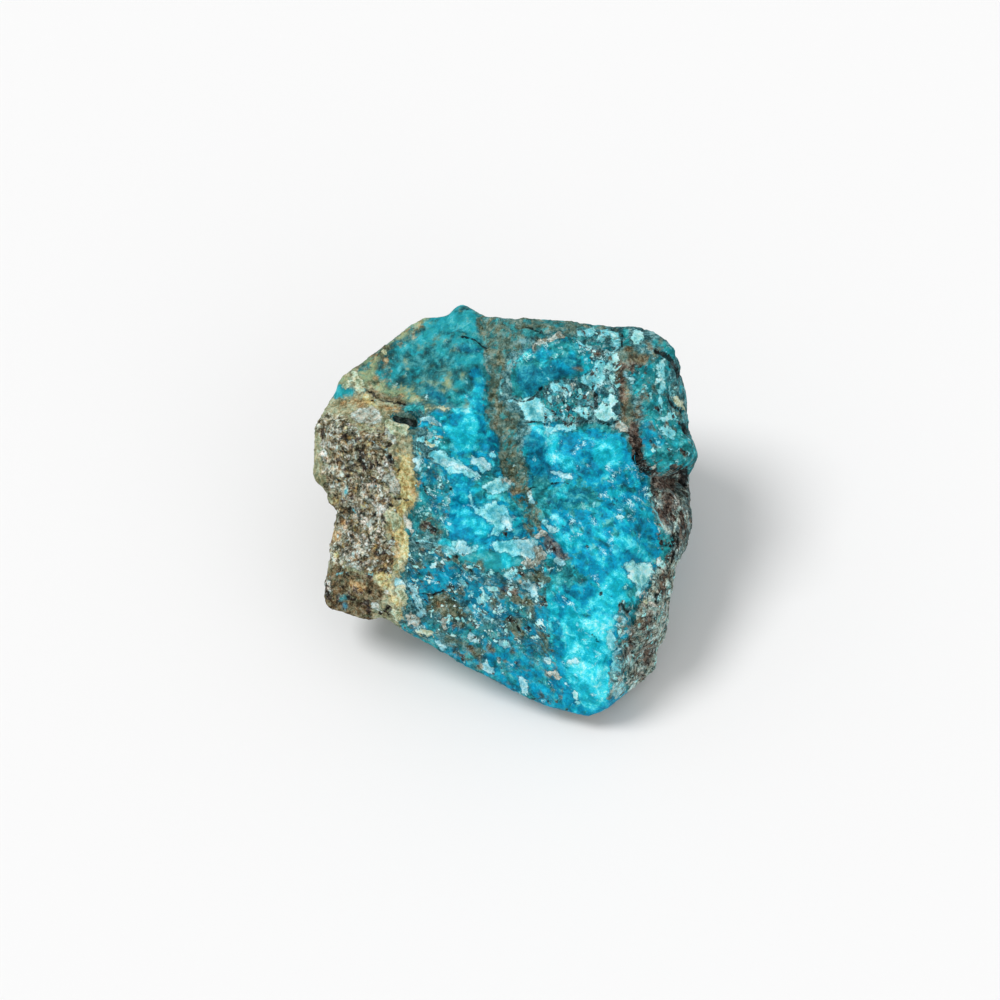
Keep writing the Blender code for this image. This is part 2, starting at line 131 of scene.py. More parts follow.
# Each mineral: its colours from dark to light, the grain that picks them, its roughness, its lift above the
# surface and how knobbly it is
MINERALS = {
    "azure": (((0.001, 0.15, 0.26), (0.001, 0.23, 0.385), (0.002, 0.295, 0.48), (0.003, 0.36, 0.565),
               (0.015, 0.49, 0.67)), "silk", 0.42, 0.0, 0.05),
    "deep": (((0.001, 0.06, 0.105), (0.001, 0.11, 0.19), (0.002, 0.165, 0.26), (0.004, 0.225, 0.335),
              (0.03, 0.36, 0.46)), "silk", 0.4, -0.05, 0.05),
    "cyan": (((0.002, 0.33, 0.42), (0.004, 0.42, 0.54), (0.008, 0.52, 0.645), (0.03, 0.65, 0.77),
              (0.15, 0.86, 0.94)), "silk", 0.45, 0.03, 0.05),
    "ice": (((0.01, 0.6, 0.76), (0.03, 0.73, 0.88), (0.08, 0.84, 0.96), (0.19, 0.93, 1.0), (0.54, 1.0, 1.0)),
            "silk", 0.55, 0.05, 0.05),
    "lagoon": (((0.005, 0.052, 0.058), (0.009, 0.1, 0.112), (0.013, 0.145, 0.165), (0.02, 0.195, 0.222),
                (0.06, 0.29, 0.31)), "silk", 0.5, 0.0, 0.04),
    "shallows": (((0.01, 0.24, 0.28), (0.012, 0.295, 0.345), (0.018, 0.345, 0.4), (0.028, 0.4, 0.46),
                  (0.09, 0.5, 0.55)), "silk", 0.5, 0.02, 0.04),
    "teal": (((0.004, 0.1, 0.11), (0.008, 0.18, 0.2), (0.016, 0.26, 0.29), (0.03, 0.36, 0.385),
              (0.12, 0.52, 0.53)), "silk", 0.5, 0.0, 0.08),
    "deep teal": (((0.004, 0.05, 0.06), (0.007, 0.1, 0.115), (0.012, 0.155, 0.178), (0.022, 0.215, 0.24),
                   (0.07, 0.33, 0.35)), "silk", 0.5, -0.05, 0.08),
    "turquoise": (((0.06, 0.42, 0.49), (0.15, 0.59, 0.67), (0.23, 0.72, 0.79), (0.32, 0.83, 0.89),
                   (0.54, 0.97, 1.0)), "silk", 0.62, 0.08, 0.05),
    "white": (((0.14, 0.46, 0.46), (0.28, 0.7, 0.7), (0.39, 0.85, 0.85), (0.5, 0.93, 0.93),
               (0.72, 1.0, 1.0)), "silk", 0.65, 0.12, 0.05),
    "lilac": (((0.14, 0.39, 0.45), (0.23, 0.55, 0.62), (0.32, 0.67, 0.74), (0.43, 0.79, 0.85),
               (0.68, 0.96, 0.98)), "silk", 0.65, 0.08, 0.05),
    "slate": (((0.015, 0.055, 0.06), (0.035, 0.12, 0.13), (0.065, 0.195, 0.21), (0.11, 0.285, 0.3),
               (0.26, 0.5, 0.52)), "crumb", 0.75, 0.0, 0.1),
    "olive": (((0.05, 0.095, 0.075), (0.08, 0.15, 0.122), (0.11, 0.2, 0.168), (0.145, 0.25, 0.212),
               (0.25, 0.37, 0.32)), "crumb", 0.85, -0.1, 0.1),
    "sage": (((0.14, 0.25, 0.16), (0.21, 0.335, 0.2), (0.285, 0.405, 0.235), (0.35, 0.455, 0.26),
              (0.46, 0.57, 0.36)), "silk", 0.85, 0.0, 0.06),
    "khaki": (((0.15, 0.16, 0.085), (0.25, 0.26, 0.15), (0.345, 0.36, 0.225), (0.43, 0.45, 0.29),
               (0.57, 0.6, 0.42)), "crumb", 0.85, 0.0, 0.1),
    "ochre": (((0.28, 0.21, 0.075), (0.49, 0.41, 0.165), (0.62, 0.56, 0.26), (0.7, 0.68, 0.37),
               (0.84, 0.85, 0.56)), "crumb", 0.85, 0.03, 0.08),
    "orange": (((0.16, 0.08, 0.03), (0.32, 0.19, 0.075), (0.47, 0.31, 0.13), (0.58, 0.43, 0.21),
                (0.7, 0.6, 0.38)), "crumb", 0.85, 0.0, 0.08),
    "brown": (((0.045, 0.03, 0.015), (0.105, 0.075, 0.038), (0.175, 0.13, 0.068), (0.235, 0.19, 0.105),
               (0.34, 0.31, 0.21)), "crumb", 0.85, 0.0, 0.1),
    "rust": (((0.02, 0.01, 0.008), (0.07, 0.039, 0.029), (0.132, 0.077, 0.056), (0.195, 0.13, 0.095),
              (0.33, 0.27, 0.21)), "crumb", 0.85, -0.05, 0.1),
    # umber is a dark brown, and it is also laid as painted shade in hollows and grooves
    "umber": (((0.004, 0.003, 0.003), (0.022, 0.016, 0.013), (0.055, 0.04, 0.033), (0.1, 0.08, 0.066),
               (0.22, 0.19, 0.16)), "crumb", 0.85, -0.15, 0.1),
    "drab": (((0.014, 0.014, 0.008), (0.066, 0.065, 0.039), (0.175, 0.168, 0.108), (0.32, 0.31, 0.21),
              (0.62, 0.64, 0.5)), "crumb", 0.88, 0.0, 0.22),
    "scree": (((0.045, 0.056, 0.047), (0.21, 0.27, 0.23), (0.385, 0.51, 0.44), (0.54, 0.74, 0.66),
               (0.84, 1.0, 0.96)), "crumb", 0.88, 0.0, 0.14),
    "earth": (((0.028, 0.035, 0.018), (0.07, 0.085, 0.047), (0.128, 0.15, 0.09), (0.19, 0.218, 0.14),
               (0.33, 0.36, 0.26)), "crumb", 0.85, 0.0, 0.12),
    "wall": (((0.02, 0.022, 0.02), (0.068, 0.09, 0.086), (0.12, 0.175, 0.172), (0.175, 0.27, 0.27),
              (0.37, 0.52, 0.52)), "layers", 0.85, 0.0, 0.12),
    "matrix": (((0.018, 0.018, 0.012), (0.1, 0.096, 0.062), (0.255, 0.25, 0.17), (0.46, 0.46, 0.345),
                (0.86, 0.92, 0.82)), "crumb", 0.88, 0.0, 0.22),
    "frost": (((0.03, 0.03, 0.022), (0.15, 0.15, 0.12), (0.38, 0.4, 0.34), (0.64, 0.69, 0.64),
               (0.95, 1.0, 0.97)), "crumb", 0.75, 0.1, 0.14),
    "beige": (((0.14, 0.145, 0.11), (0.28, 0.3, 0.24), (0.41, 0.455, 0.39), (0.54, 0.62, 0.555),
               (0.76, 0.85, 0.8)), "crumb", 0.8, 0.05, 0.08),
    "mint": (((0.2, 0.25, 0.14), (0.35, 0.41, 0.25), (0.49, 0.56, 0.37), (0.6, 0.69, 0.48),
              (0.76, 0.86, 0.68)), "crumb", 0.8, 0.05, 0.08),
    "black": (((0.001, 0.001, 0.001), (0.003, 0.004, 0.004), (0.008, 0.01, 0.01), (0.02, 0.022, 0.022),
               (0.06, 0.065, 0.065)), "crumb", 0.9, -0.35, 0.05),
}

# How a coat ends: softness of its edge and raggedness in millimetres, its cover, and how much lighter its
# rim is
EDGES = {
    "zone": (0.22, 4.5, 1.0, 0.0),
    "blend": (0.7, 4.0, 0.95, 0.0),
    "haze": (0.45, 2.6, 0.85, 0.0),
    "patch": (0.12, 2.6, 0.95, 0.0),
    "crust": (0.12, 2.8, 0.92, 0.1),
    "cloud": (0.15, 2.6, 0.92, 0.1),
    "line": (0.07, 1.3, 0.9, 0.0),
    "thread": (0.08, 1.6, 0.6, 0.0),
}

# The coats in order: name, mineral, edge and shapes. A shape is a radius and a path; a path that ends where
# it starts is filled
COATS = (
    ("blue_ground", "azure", "zone",
     (0.0, -13.8+13j, -10+15.6j, -7+20j, -3+21j, -2.6+14j, -0.6+10.6j, 0.3+5j, 4.4+0.5j, 5+4j, 4.2+8j,
      5+11.6j, 9+13.2j, 13+11.6j, 16.6+12.6j, 20.4+11j, 22.6+6.6j, 24.6+4.4j, 25.2+1j, 26.2-3j, 27.6-7j,
      28-9.6j, 26.6-10j, 25.4-13.6j, 22.6-18j, 20.6-25j, 20.8-29j, 21.6-33j, 14-38j, 0-34j, -3-29j, -2-24.4j,
      1-23.4j, 7-28j, 8.4-24j, 6.6-19j, 7.4-15j, 9-11j, 7-8j, 3-9.8j, -7-7.8j, -9-6j, -9.8-3.6j, -13.8-0.4j,
      -14+3j, -13.8+13j),
     (0.0, -13.8-13.6j, -11-12.2j, -9.4-10j, -6-11j, -1-13.4j, -1.4-18.6j, -4-17.4j, -7.6-14.8j, -10-15.4j,
      -13.4-15.2j, -13.8-13.6j)),
    ("khaki_ground", "khaki", "zone",
     (0.0, -33+22j, -24.5+23j, -20.5+25j, -16+29j, -13+31j, -12.5+29.5j, -15.5+27j, -18.5+24.6j, -19.6+22j,
      -18.6+20.2j, -15.8+19j, -15+17j, -17+15.2j, -17.6+13.6j, -15+12.2j, -14.3+9j, -13.3+3j, -14.2-2j,
      -15.4-5j, -14.8-8j, -14.8-10.6j, -16.6-13j, -15.6-17.6j, -13-21.4j, -12-24j, -33-24j, -33+22j)),
    ("matrix", "matrix", "zone",
     (0.0, -31+12.6j, -29+14.6j, -26+13.8j, -24+12j, -20.4+11.4j, -18.6+10.4j, -17.8+8j, -18.2+5.4j,
      -19.6+4.6j, -18.6+2j, -17.6-0.6j, -19.4-3j, -18.6-6j, -17.8-9j, -18.6-13j, -23-12j, -25.8-10.8j,
      -29.4-10.2j, -28.6-4j, -28+1.6j, -29.6+4j, -28.6+8j, -31+12.6j),
     (0.8, -14.6-8.8j, -12.2-9.3j, -11.2-10.2j)),
    ("drab_core", "drab", "zone",
     (0.0, -26+9j, -25+11j, -20.6+11j, -20+9j, -18.8+10j, -18.2+8j, -18.4+5.6j, -20.5+5j, -20.4+2.4j,
      -24.8+2j, -25+4j, -26.5+5j, -26+9j),
     (0.8, -28.6+2.4j, -28.2+1j), (0.8, -25-4.4j, -22.6-5.6j), (0.6, -18.8-9j, -18.4-7.2j)),
    ("brown_ground", "brown", "zone",
     (0.0, -32-10j, -28.4-10.8j, -25.6-11.4j, -23.2-12j, -22.2-9.4j, -21.6-7.2j, -20.4-6.2j, -20-8j,
      -17.9-8j, -17.6-10j, -18.6-12j, -19-14.4j, -19.4-17j, -20.8-17.8j, -21-22j, -32-22j, -32-10j)),
    ("ochre_rim", "ochre", "zone",
     (0.0, -17+7j, -16.8+8.4j, -15.6+7.6j, -14.8+6j, -13.9+4j, -13.2+2j, -13.6+0j, -15.6-2j, -15.7-5j,
      -14.7-7j, -14.7-9j, -16.4-10.8j, -17-12j, -17.6-10j, -16.9-7j, -18.6-5j, -18.8-3j, -17.7-1.4j,
      -16.6+0.6j, -17.4+3j, -17+7j),
     (0.8, -22.6-1j), (0.6, -27-8.6j), (0.4, -19-6.8j), (0.8, -18-16.5j, -17.1-16.8j),
     (0.6, -22+16.6j, -20.6+15.8j), (0.5, -26.6+4j), (1.0, -20-12.5j, -18.4-15j), (0.8, -16.8-19j)),
    ("slate_ground", "slate", "zone",
     (0.0, -3+31.5j, -2.8+24j, -1.8+19j, -2.4+14.4j, -0.4+10.4j, 0.3+5.6j, 0.1+4j, 2.4+2.6j, 4+0.6j,
      4.4-3.6j, 5.4-6j, 6.6-5.4j, 6-1j, 5.4+1.4j, 5+4j, 4.2+7.6j, 5+11.4j, 6+13j, 10+13j, 13.4+11.8j,
      16.6+12.4j, 20.4+11j, 22.6+6.6j, 24.6+4.8j, 32+4.6j, 34+10j, 33+20j, 30+27j, 22+31j, -3+31.5j),
     (0.0, -17+17j, -11.4+17.2j, -9.6+15.8j, -12.6+13.4j, -15+14j, -17+17j),
     (0.0, -14.6+12j, -10.4+12.6j, -9.6+8j, -8+5.4j, -12.6+6.4j, -13+3j, -14.2+4j, -14.6+12j),
     (0.0, -13.6-0.6j, -11.8-2.6j, -9.8-3.6j, -9-6j, -7-7.6j, -3.6-8.8j, -1.4-9.4j, 0.6-10j, 3-9.6j,
      5.4-7.4j, 7-7.8j, 9.2-9.8j, 8.4-12.2j, 7.6-14.6j, 6.6-17j, 6.4-20.6j, 8-23j, 8.6-26.6j, 7.6-28.6j,
      4.6-26.2j, 0.6-23j, -1.6-24j, -2.8-28.6j, -4.6-28.8j, -12-24.2j, -17-21j, -15.4-17j, -16.8-13.6j,
      -14.8-10j, -15-6.6j, -13.6-0.6j)),
    ("upper_left", "lagoon", "blend",
     (0.0, -20.8+20.6j, -20.4+23j, -19+25.2j, -15+27.2j, -12.6+29.4j, -12+31.4j, -8+33j, -6.6+34j, -4+32.4j,
      -3+30.4j, -2.8+24j, -2.6+19j, -2.9+15.4j, -6+15.4j, -10+15.6j, -13+17.4j, -16+19.2j, -18.8+19.4j,
      -20.8+20.6j),
     (0.0, -28.4+17j, -26.4+17.2j, -24.6+18.2j, -25.2+19.4j, -27.6+19.2j, -28.4+17j)),
    ("sage_ground", "sage", "blend",
     (0.8, -13.4+29.6j, -12+31j), (0.5, -11.2+26.8j, -9.8+27j), (0.6, -9.4+22.2j, -8.6+20.8j),
     (0.0, -25.4+22.6j, -22.4+24.8j, -19+27.4j, -16+29.6j, -13+31.4j, -12.8+29.4j, -15+27.4j, -18.6+25.6j,
      -20.4+23.2j, -20+20.6j, -17.6+19.2j, -14+18.6j, -12.2+17j, -14.6+15.8j, -18.4+16.6j, -21.6+18.2j,
      -24+20.6j, -25.4+22.6j),
     (0.6, -10.4+26.7j, -9.2+26.9j), (0.8, -9.6+20.8j, -8.6+19.6j), (0.5, -18.6+22.7j), (0.5, -9.6+18.4j),
     (0.6, -12.8+19.8j, -11+19.6j), (0.7, -27+19.8j, -25.6+20j), (0.4, -12+15.4j, -8.5+15.3j)),
    ("wall_ground", "wall", "patch",
     (0.0, 24.6+4.6j, 27.2+4.4j, 29.3+5.2j, 31.6+4.2j, 34+2j, 34-8j, 30.5-11j, 28-9.7j, 27.6-6.6j, 26.4-3.2j,
      25.3-0.8j, 24.8+2j, 24.6+4.6j)),
    ("low_wall", "scree", "patch",
     (0.5, 29.5+1j, 29.8-2j, 29.2-5j),
     (0.0, 26.4-9.6j, 31-10j, 31-24j, 27-32j, 21.5-32j, 20.7-28.5j, 20.2-25j, 21.4-22.6j, 22.2-20.3j,
      22.4-18.2j, 23.6-16.4j, 25.4-13.6j, 26.4-9.6j)),
    ("teal_ground", "teal", "zone",
     (0.8, -27+17.9j, -25.8+18.2j), (0.8, -16+15j, -13.5+15.3j), (1.3, -9.2+9.5j, -9.4+8j),
     (0.0, 1.6+21j, 3.4+23.8j, 6+25.8j, 10+27j, 13.4+26.4j, 15+25j, 15.4+23j, 14.4+21j, 12+20j, 8+19.4j,
      6+17.2j, 4+16.4j, 1.8+18j, 1.6+21j),
     (0.0, 20.6+21.4j, 22.2+22.4j, 24+23.4j, 26.6+24j, 28+22j, 28+17.6j, 28.2+15j, 30+13.4j, 31+11.5j, 33+9j,
      34+5.5j, 31.5+5.2j, 29.5+5.6j, 27.6+5j, 25.5+5j, 24+6.4j, 23.3+9j, 23.4+12.6j, 24.2+15j, 23.8+18.4j,
      22.6+15.4j, 22+18.5j, 20.6+21.4j),
     (0.8, 26.4+26.2j, 28.2+25j, 29+24j), (1.0, 27.6-6.5j, 27.6-9.4j), (0.6, 20.9+28.2j, 21.3+26j),
     (1.2, 9.5+15.2j, 12.3+14.8j), (0.7, 7.2+16.8j, 8+15.4j), (0.7, 1+28j, 0.6+27.6j), (0.5, 6+14.6j),
     (0.0, 24.2+3.4j, 24.8+3.2j, 25.2+1j, 26.4-2.4j, 27.4-5.6j, 28-8j, 26.8-9.4j, 26.8-6j, 25.8-3j,
      24.8-0.4j, 24.2+3.4j),
     (0.6, 12+11.4j, 15+12.3j, 18+11.8j), (0.5, 20.4+2.2j, 22+1.6j), (0.5, 15.6-1.6j, 16.6-0.4j),
     (0.0, 0+3.6j, -2+5j, -4.6+4j, -5+2j, -3.8+0.6j, -1+0.4j, 0.6-0.6j, 2-2j, 2.2-5j, 4.6-5.8j, 4.4-1j,
      3.6+0.8j, 2+0.6j, 0+3.6j),
     (0.0, 4+4.4j, 8.4+3j, 10+2.4j, 15+2.6j, 16.4+1j, 16.2-1.6j, 14-2j, 10-1j, 6.6-4j, 6-1j, 4.8+2j, 4+4.4j),
     (0.0, -2.4-9j, 1-9.8j, 2.6-11.2j, 0.8-12.4j, -2.6-12j, -2.4-9j),
     (0.0, 7-14.6j, 9-12j, 9.4-10j, 11.4-9.4j, 14.6-13.4j, 12-14.6j, 9-16j, 8-20j, 9.6-23j, 8.6-25j, 7-21j,
      6.6-17j, 7-14.6j),
     (0.0, 20.4-14.6j, 22.8-13.8j, 23.4-16j, 22.2-19j, 20.6-18.4j, 20-16.4j, 20.4-14.6j),
     (0.9, 20.2-20.6j, 20-23.6j, 20.4-25j), (0.6, 6.6-26j, 7-30j), (0.9, -10-21j, -8.4-22j),
     (0.0, -11.6-9.4j, -8.4-8.6j, -5.6-9.4j, -5.4-12j, -2.4-15.6j, -1.4-18.6j, -4.6-17.6j, -7.4-15.4j,
      -10-15.6j, -13.6-15.6j, -14.6-13j, -11.6-9.4j)),
    ("deep_teal", "deep teal", "haze",
     (0.0, -15.4+23.4j, -14.4+25j, -11.4+25.4j, -8.6+25j, -8+22.6j, -8.6+20.4j, -11+19.4j, -14+20j,
      -15+21.6j, -15.4+23.4j),
     (1.6, -5.4-20.6j, -3.4-22j), (0.4, -15+26.6j),
     (0.0, -6.8+25.8j, -4.6+27j, -2.6+25.8j, -3.2+24.2j, -5+24j, -6.8+25.8j), (0.5, -9.8+12.9j),
     (0.6, 3.5+27.5j, 5+27.3j), (0.8, -7.4+21.2j), (0.8, -2.6+28.4j, -2+26j),
     (0.9, -3+4j, -1.5+4.7j, -0.4+5.6j, -0.6+7j), (0.4, -3.2+0.2j, -1+0j, 1+0.3j),
     (0.9, 22+20.4j, 24.4+20.8j, 26.4+19.2j), (0.7, 24.8+16j, 26.4+14.6j), (0.7, 27+9.8j, 29.6+8j),
     (0.5, 22-1.5j, 21.8-3j), (0.8, 10-11j, 11.6-12.6j, 13.6-13.8j),
     (0.0, -12.6+5.6j, -11.2+5.2j, -10.8+2j, -11.2+0j, -12.4+1j, -12.6+5.6j),
     (0.0, -11.4-1.8j, -9.6-2.2j, -9.2-5.2j, -10.6-6j, -12.4-5.6j, -12-3.4j, -11.4-1.8j),
     (0.8, -12.2-19.8j, -11.6-20.8j, -11-22.2j), (0.8, -6.5-26.4j, -4.6-27.2j, -3.8-28j), (0.7, -6.8-14.8j),
     (0.7, 1.6-17.8j, 2.6-18.6j), (0.9, 2.8-27.5j), (0.5, 16+18.5j), (0.8, 6.8-20.4j, 8-21.6j),
     (0.5, 25.2-7.6j), (1.2, 31+7j, 32+6j), (0.8, -9.6+6.8j, -8.8+7.4j), (0.9, 4.2+5.6j, 5.2+3.2j, 7.4+3.4j),
     (0.5, -8.8+1.8j, -9.4+1j), (0.8, -0.6-27.6j, 1.2-28j), (0.6, 13.2+17j, 15.4+16.8j),
     (0.8, 5.6+29.4j, 11+28.8j), (0.8, -2-16j, -0.6-18.4j), (0.8, 4-21.6j, 5.4-21j)),
    ("deep_blue", "deep", "haze",
     (0.7, -6.6+25.4j, -4+25j), (0.8, -4.2+21.6j, -3.6+19j), (0.5, -6.6+22.6j),
     (0.0, 2.8+20.8j, 3+22.2j, 4.6+22.8j, 6.4+22.2j, 9+22.8j, 11+23.4j, 13.4+23j, 13.2+21.4j, 11+20.4j,
      8+19.6j, 6+17.8j, 4.6+17j, 3+18.2j, 2.8+20.8j),
     (0.8, 11+23.2j, 12.4+23.4j), (0.8, -11.4+18.2j, -9.5+16.8j), (0.7, -3+11j, -2.4+10j),
     (0.9, -1.2+9.2j, -1+7.6j), (0.5, 13.3+21j), (0.6, -17+21.8j),
     (0.0, 3.7+9.6j, 4.4+11j, 5.6+11.2j, 7+10.6j, 7.6+9j, 7+7j, 6+6j, 4.6+6.6j, 3.7+9.6j),
     (0.9, 6.6+5.8j, 8.4+4.8j), (0.6, 4.8+3.9j, 5.2+3j), (1.0, 12.6+5.4j, 13.4+4.9j),
     (0.0, 7.4-0.2j, 8.8+1.4j, 13+2.2j, 15.4+1.4j, 14.4-0.4j, 11.4-1j, 9.6-1.4j, 7.4-0.2j),
     (0.8, -12+5.4j, -11+4.5j, -11.6+3j), (0.8, -7.5+3j, -6+2.8j), (0.5, -9.6+2.6j),
     (0.9, 2.9-2.6j, 3.2-4j, 3.6-5.3j, 2.7-5.8j), (0.7, 18.6-0.9j, 20.6-0.8j), (1.0, 12.2-16j, 10.6-15.2j),
     (0.8, 12.6-21j), (0.8, -6.5-5.4j), (0.5, 12+15j),
     (0.0, -13.6-13.8j, -11-12.6j, -9.4-10.6j, -7.6-11.4j, -6.4-13.4j, -3.4-15.4j, -1.8-18j, -4.2-17j,
      -7.6-14.8j, -10-15.2j, -13-15.1j, -13.6-13.8j),
     (0.8, 0.4-26j, 2.6-26.6j, 3-29.4j), (0.8, -0.4-29j), (0.5, 9.6-32.4j), (0.5, -5.8-21.7j),
     (0.5, -2.3-7j), (0.7, 19.6-8.3j, 21.4-8.6j), (0.8, 9.4-21.4j, 8.4-18j), (0.9, -10.8-0.4j, -10.4-2.6j),
     (0.6, -2.4-26.2j)),
    ("azure_pools", "azure", "haze",
     (0.9, 24.6+11.6j, 26.4+10j), (0.8, 8.6-28.6j, 10-31j), (0.9, -4+21.4j, -3.4+20j, -3.6+18.4j),
     (0.6, 6.8+24.2j, 8.6+24.6j), (0.6, 9.4+22.6j, 11.2+21.6j), (1.0, -4+16.8j, -3.2+15.6j),
     (0.4, 9.5+28.6j), (0.9, 24.6+12.2j), (0.5, 12+24.4j), (0.8, 24.2+10.3j, 24.8+8.8j),
     (0.5, -7-17.7j, -6.1-18.9j), (0.4, 1.8-18.3j), (0.4, -8.3-15.8j), (0.4, -11.3-23.1j),
     (1.0, -9.2-11.2j, -8.6-12j), (0.5, -3.2-14j, -2.4-15.4j), (1.0, 0.5-25j, 1-26j), (0.5, -26-17.7j),
     (0.4, -8.1-25.1j, -7-25.7j), (0.5, -3.2-24.4j),
     (0.0, -13.4-13.6j, -12-11.6j, -9.6-10.6j, -8-12j, -7.6-14j, -10-15.4j, -12.8-15j, -13.4-13.6j),
     (0.0, -7-11.4j, -5-12.6j, -3.4-14.6j, -1.4-15.6j, 0.2-14j, 0.2-16j, -2-17.6j, -4.4-15.6j, -6.4-13.8j,
      -7-11.4j),
     (1.2, -4-17j, -2.4-18.4j), (0.9, -5.4-16j), (0.9, 4.4-23.6j, 5.8-23.4j), (1.0, 10.6+6.6j, 9.6+3j),
     (0.0, -9.6-1j, -8+1j, -5.6+4.2j, -4.8+1j, -3.8-1.5j, -1-3.5j, -0.8-5.5j, -2-7j, -5-8.2j, -6.5-7.2j,
      -9-6j, -9.8-3j, -9.6-1j),
     (0.5, -2.4-14.6j, -1.4-13.8j), (0.5, 0.6-10.2j)),
    ("shallow_lights", "shallows", "blend",
     (0.0, -8.6-7.4j, -3-8.2j, 2-8.8j, 5-10j, 4.4-12j, 0-12.4j, -3-11.6j, -5.4-10.4j, -8-9.4j, -8.6-7.4j),
     (1.1, -13+26.8j, -11+28.4j), (1.2, -9+29.8j, -7+30j, -5+28.8j), (0.9, -9.6+24.8j),
     (0.7, -18.4+21j, -16.8+21.8j), (0.8, -7+19.5j), (1.0, -6.5+23.2j, -4+23.5j),
     (0.8, -14.6+25.6j, -16.6+25.4j), (0.8, -27+18j, -24.6+18j), (0.8, -5+26.8j, -7.4+26.4j),
     (0.8, -8+17.6j, -6.6+16.6j)),
    ("cyan_lights", "cyan", "haze",
     (0.0, -9.2+12.6j, -7+12.2j, -6+14.2j, -5+15.4j, -3.6+13.4j, -3.6+10.6j, -5.4+8j, -6.8+8.2j, -9+10.8j,
      -9.2+12.6j),
     (0.6, -11+14j, -10.3+13.2j), (0.7, 14.3+24j, 14.8+22.8j, 14+21.6j),
     (0.0, 15.6+9.8j, 18.8+10.2j, 20.4+8.6j, 20.4+6j, 18.4+5.2j, 16.6+5.4j, 15.6+7.8j, 15.6+9.8j),
     (0.7, 9.5+7.6j, 11+6.4j, 11.2+5j),
     (0.0, -6.4-2.2j, -5-2.7j, -1.6-4j, -1.4-5.4j, -3-6.3j, -5.4-4.2j, -6.4-2.2j), (0.8, 0.8-9.6j, 1-10.6j),
     (0.5, -3.5-8.5j), (0.8, -9.4-7j, -8-7.4j), (0.5, -6.6-7.2j), (0.7, 9.3-5.5j, 10-6.8j, 11.4-8j),
     (0.9, 12.8-7j), (0.9, 24.4-2.6j), (0.9, 20.6-6.4j, 23-8.6j), (0.6, 16.5-10.5j), (0.6, 25+7.2j),
     (0.6, 18.6+1.2j, 20.4+1.4j), (0.7, 4.2+8.2j),
     (0.0, 17-13.6j, 18.4-12j, 20-11j, 22-13.6j, 21-15j, 20.4-18j, 20-19.6j, 16-18.2j, 13-18.6j, 11.4-17.2j,
      10.4-20j, 10.8-25j, 13-26.4j, 17-27j, 18.6-27j, 19-25j, 18-22j, 14.2-20.4j, 13.8-18.6j, 15.6-16j,
      17-13.6j),
     (0.0, 10.4-26j, 12-25.4j, 18-27.4j, 19.4-29.6j, 18-33j, 15.6-35.4j, 13-33.4j, 11-29.4j, 10.4-26j),
     (0.35, -13.5+0.9j, -13.4-1j, -13.2-3j, -13.9-4.2j, -14.1-5.6j), (0.35, -25.7+1.9j, -25.7+0.9j),
     (0.5, -14.5-16.2j), (0.8, 8-16.4j, 9.4-19.4j), (0.35, -26.6-16.4j, -25.6-16.2j)),
    ("ice_lights", "ice", "haze",
     (0.5, 11-6j, 11.3-7j), (0.6, 12.5-24.4j), (0.4, 9.4-2.8j, 10.6-3.6j),
     (0.0, 20.8-11.2j, 22-10.6j, 24.8-10.8j, 25.2-12j, 23-13.6j, 21.8-12.8j, 20.8-11.2j),
     (0.0, 14-20.4j, 16-18.6j, 18-19.2j, 19.6-19.8j, 18.4-22j, 17.8-23.8j, 15.2-22.6j, 14-20.4j),
     (0.0, 11-26.6j, 12.6-26j, 15-27.4j, 18-28j, 19-29.6j, 18-32.4j, 16.4-33.4j, 14.8-31j, 11.6-28.8j,
      11-26.6j),
     (0.6, 17.4+8.6j), (0.4, -5.3+14.6j), (0.5, -8.6+12.4j), (0.4, 6.7+16.4j, 6.4+14.6j),
     (0.0, 5+12.6j, 7+12.8j, 8.4+11.6j, 9.8+11.2j, 9.6+9j, 8.8+7.2j, 9.2+6.2j, 7.6+6.6j, 7.4+7.6j, 8.2+9.4j,
      7.4+11j, 5.4+11.8j, 5+12.6j),
     (0.5, 10.8-21.4j, 10.9-23.4j), (0.5, -8.4-9.2j, -9.4-8j)),
    ("olive_fill", "olive", "zone",
     (1.0, -1.4+29.8j, -1.3+25j, -1+22j, -1.2+19j, -1+16.5j, 0.2+14.4j, 1.8+12.5j, 1.4+10j),
     (0.0, -3.4+30.4j, -3+27.6j, -2+25.4j, -0.6+21.4j, 1.6+24j, 3.6+25.4j, 3+28j, 4+30j, -3.4+30.4j),
     (0.0, 0+11j, 2.4+11.2j, 3.2+9j, 4+6.6j, 4.5+4.6j, 4.6+2.4j, 5.4+0.6j, 5.9-1.6j, 6.2-4j, 5.6-6j, 4.9-5j,
      4.6-2j, 3.9+0.4j, 2.6+0.8j, 1.2+1.2j, 1.6+2.4j, 2.2+3.2j, 0.3+4j, 0.3+6j, 0+8.6j, 0+11j),
     (0.0, -2.4+15.6j, 0.6+15.8j, 3+14.4j, 3.6+12.6j, 2.6+11j, -0.2+10.8j, -1.6+12j, -2.4+15.6j),
     (0.0, -3+31j, 12+30.4j, 22+30j, 22+28.8j, 12+28.8j, 8+28j, 3+27j, -3+31j),
     (0.5, -24+22.6j, -20+25.4j, -16.4+28.6j), (0.8, -14.8+11.4j), (1.0, -16.4+14.2j, -15+13.2j),
     (0.0, -11.8-16j, -9.2-15.6j, -6.8-17.2j, -5.6-19j, -7-19.8j, -9.4-19.6j, -11.8-17.6j, -11.8-16j),
     (0.0, 0.2-15.2j, 4.8-15.6j, 6-17.6j, 5-18.2j, 2.4-16.8j, 0.6-17.2j, 0.2-15.2j),
     (0.0, 1-19.6j, 3.6-19.4j, 3.8-21j, 3.2-22.8j, 1.2-21.8j, 1-19.6j),
     (0.0, 19.2+24.6j, 20+26j, 22+25.4j, 24.2+24.6j, 24.4+22.8j, 22.4+22.2j, 21+21j, 21.8+18j, 22.2+14.6j,
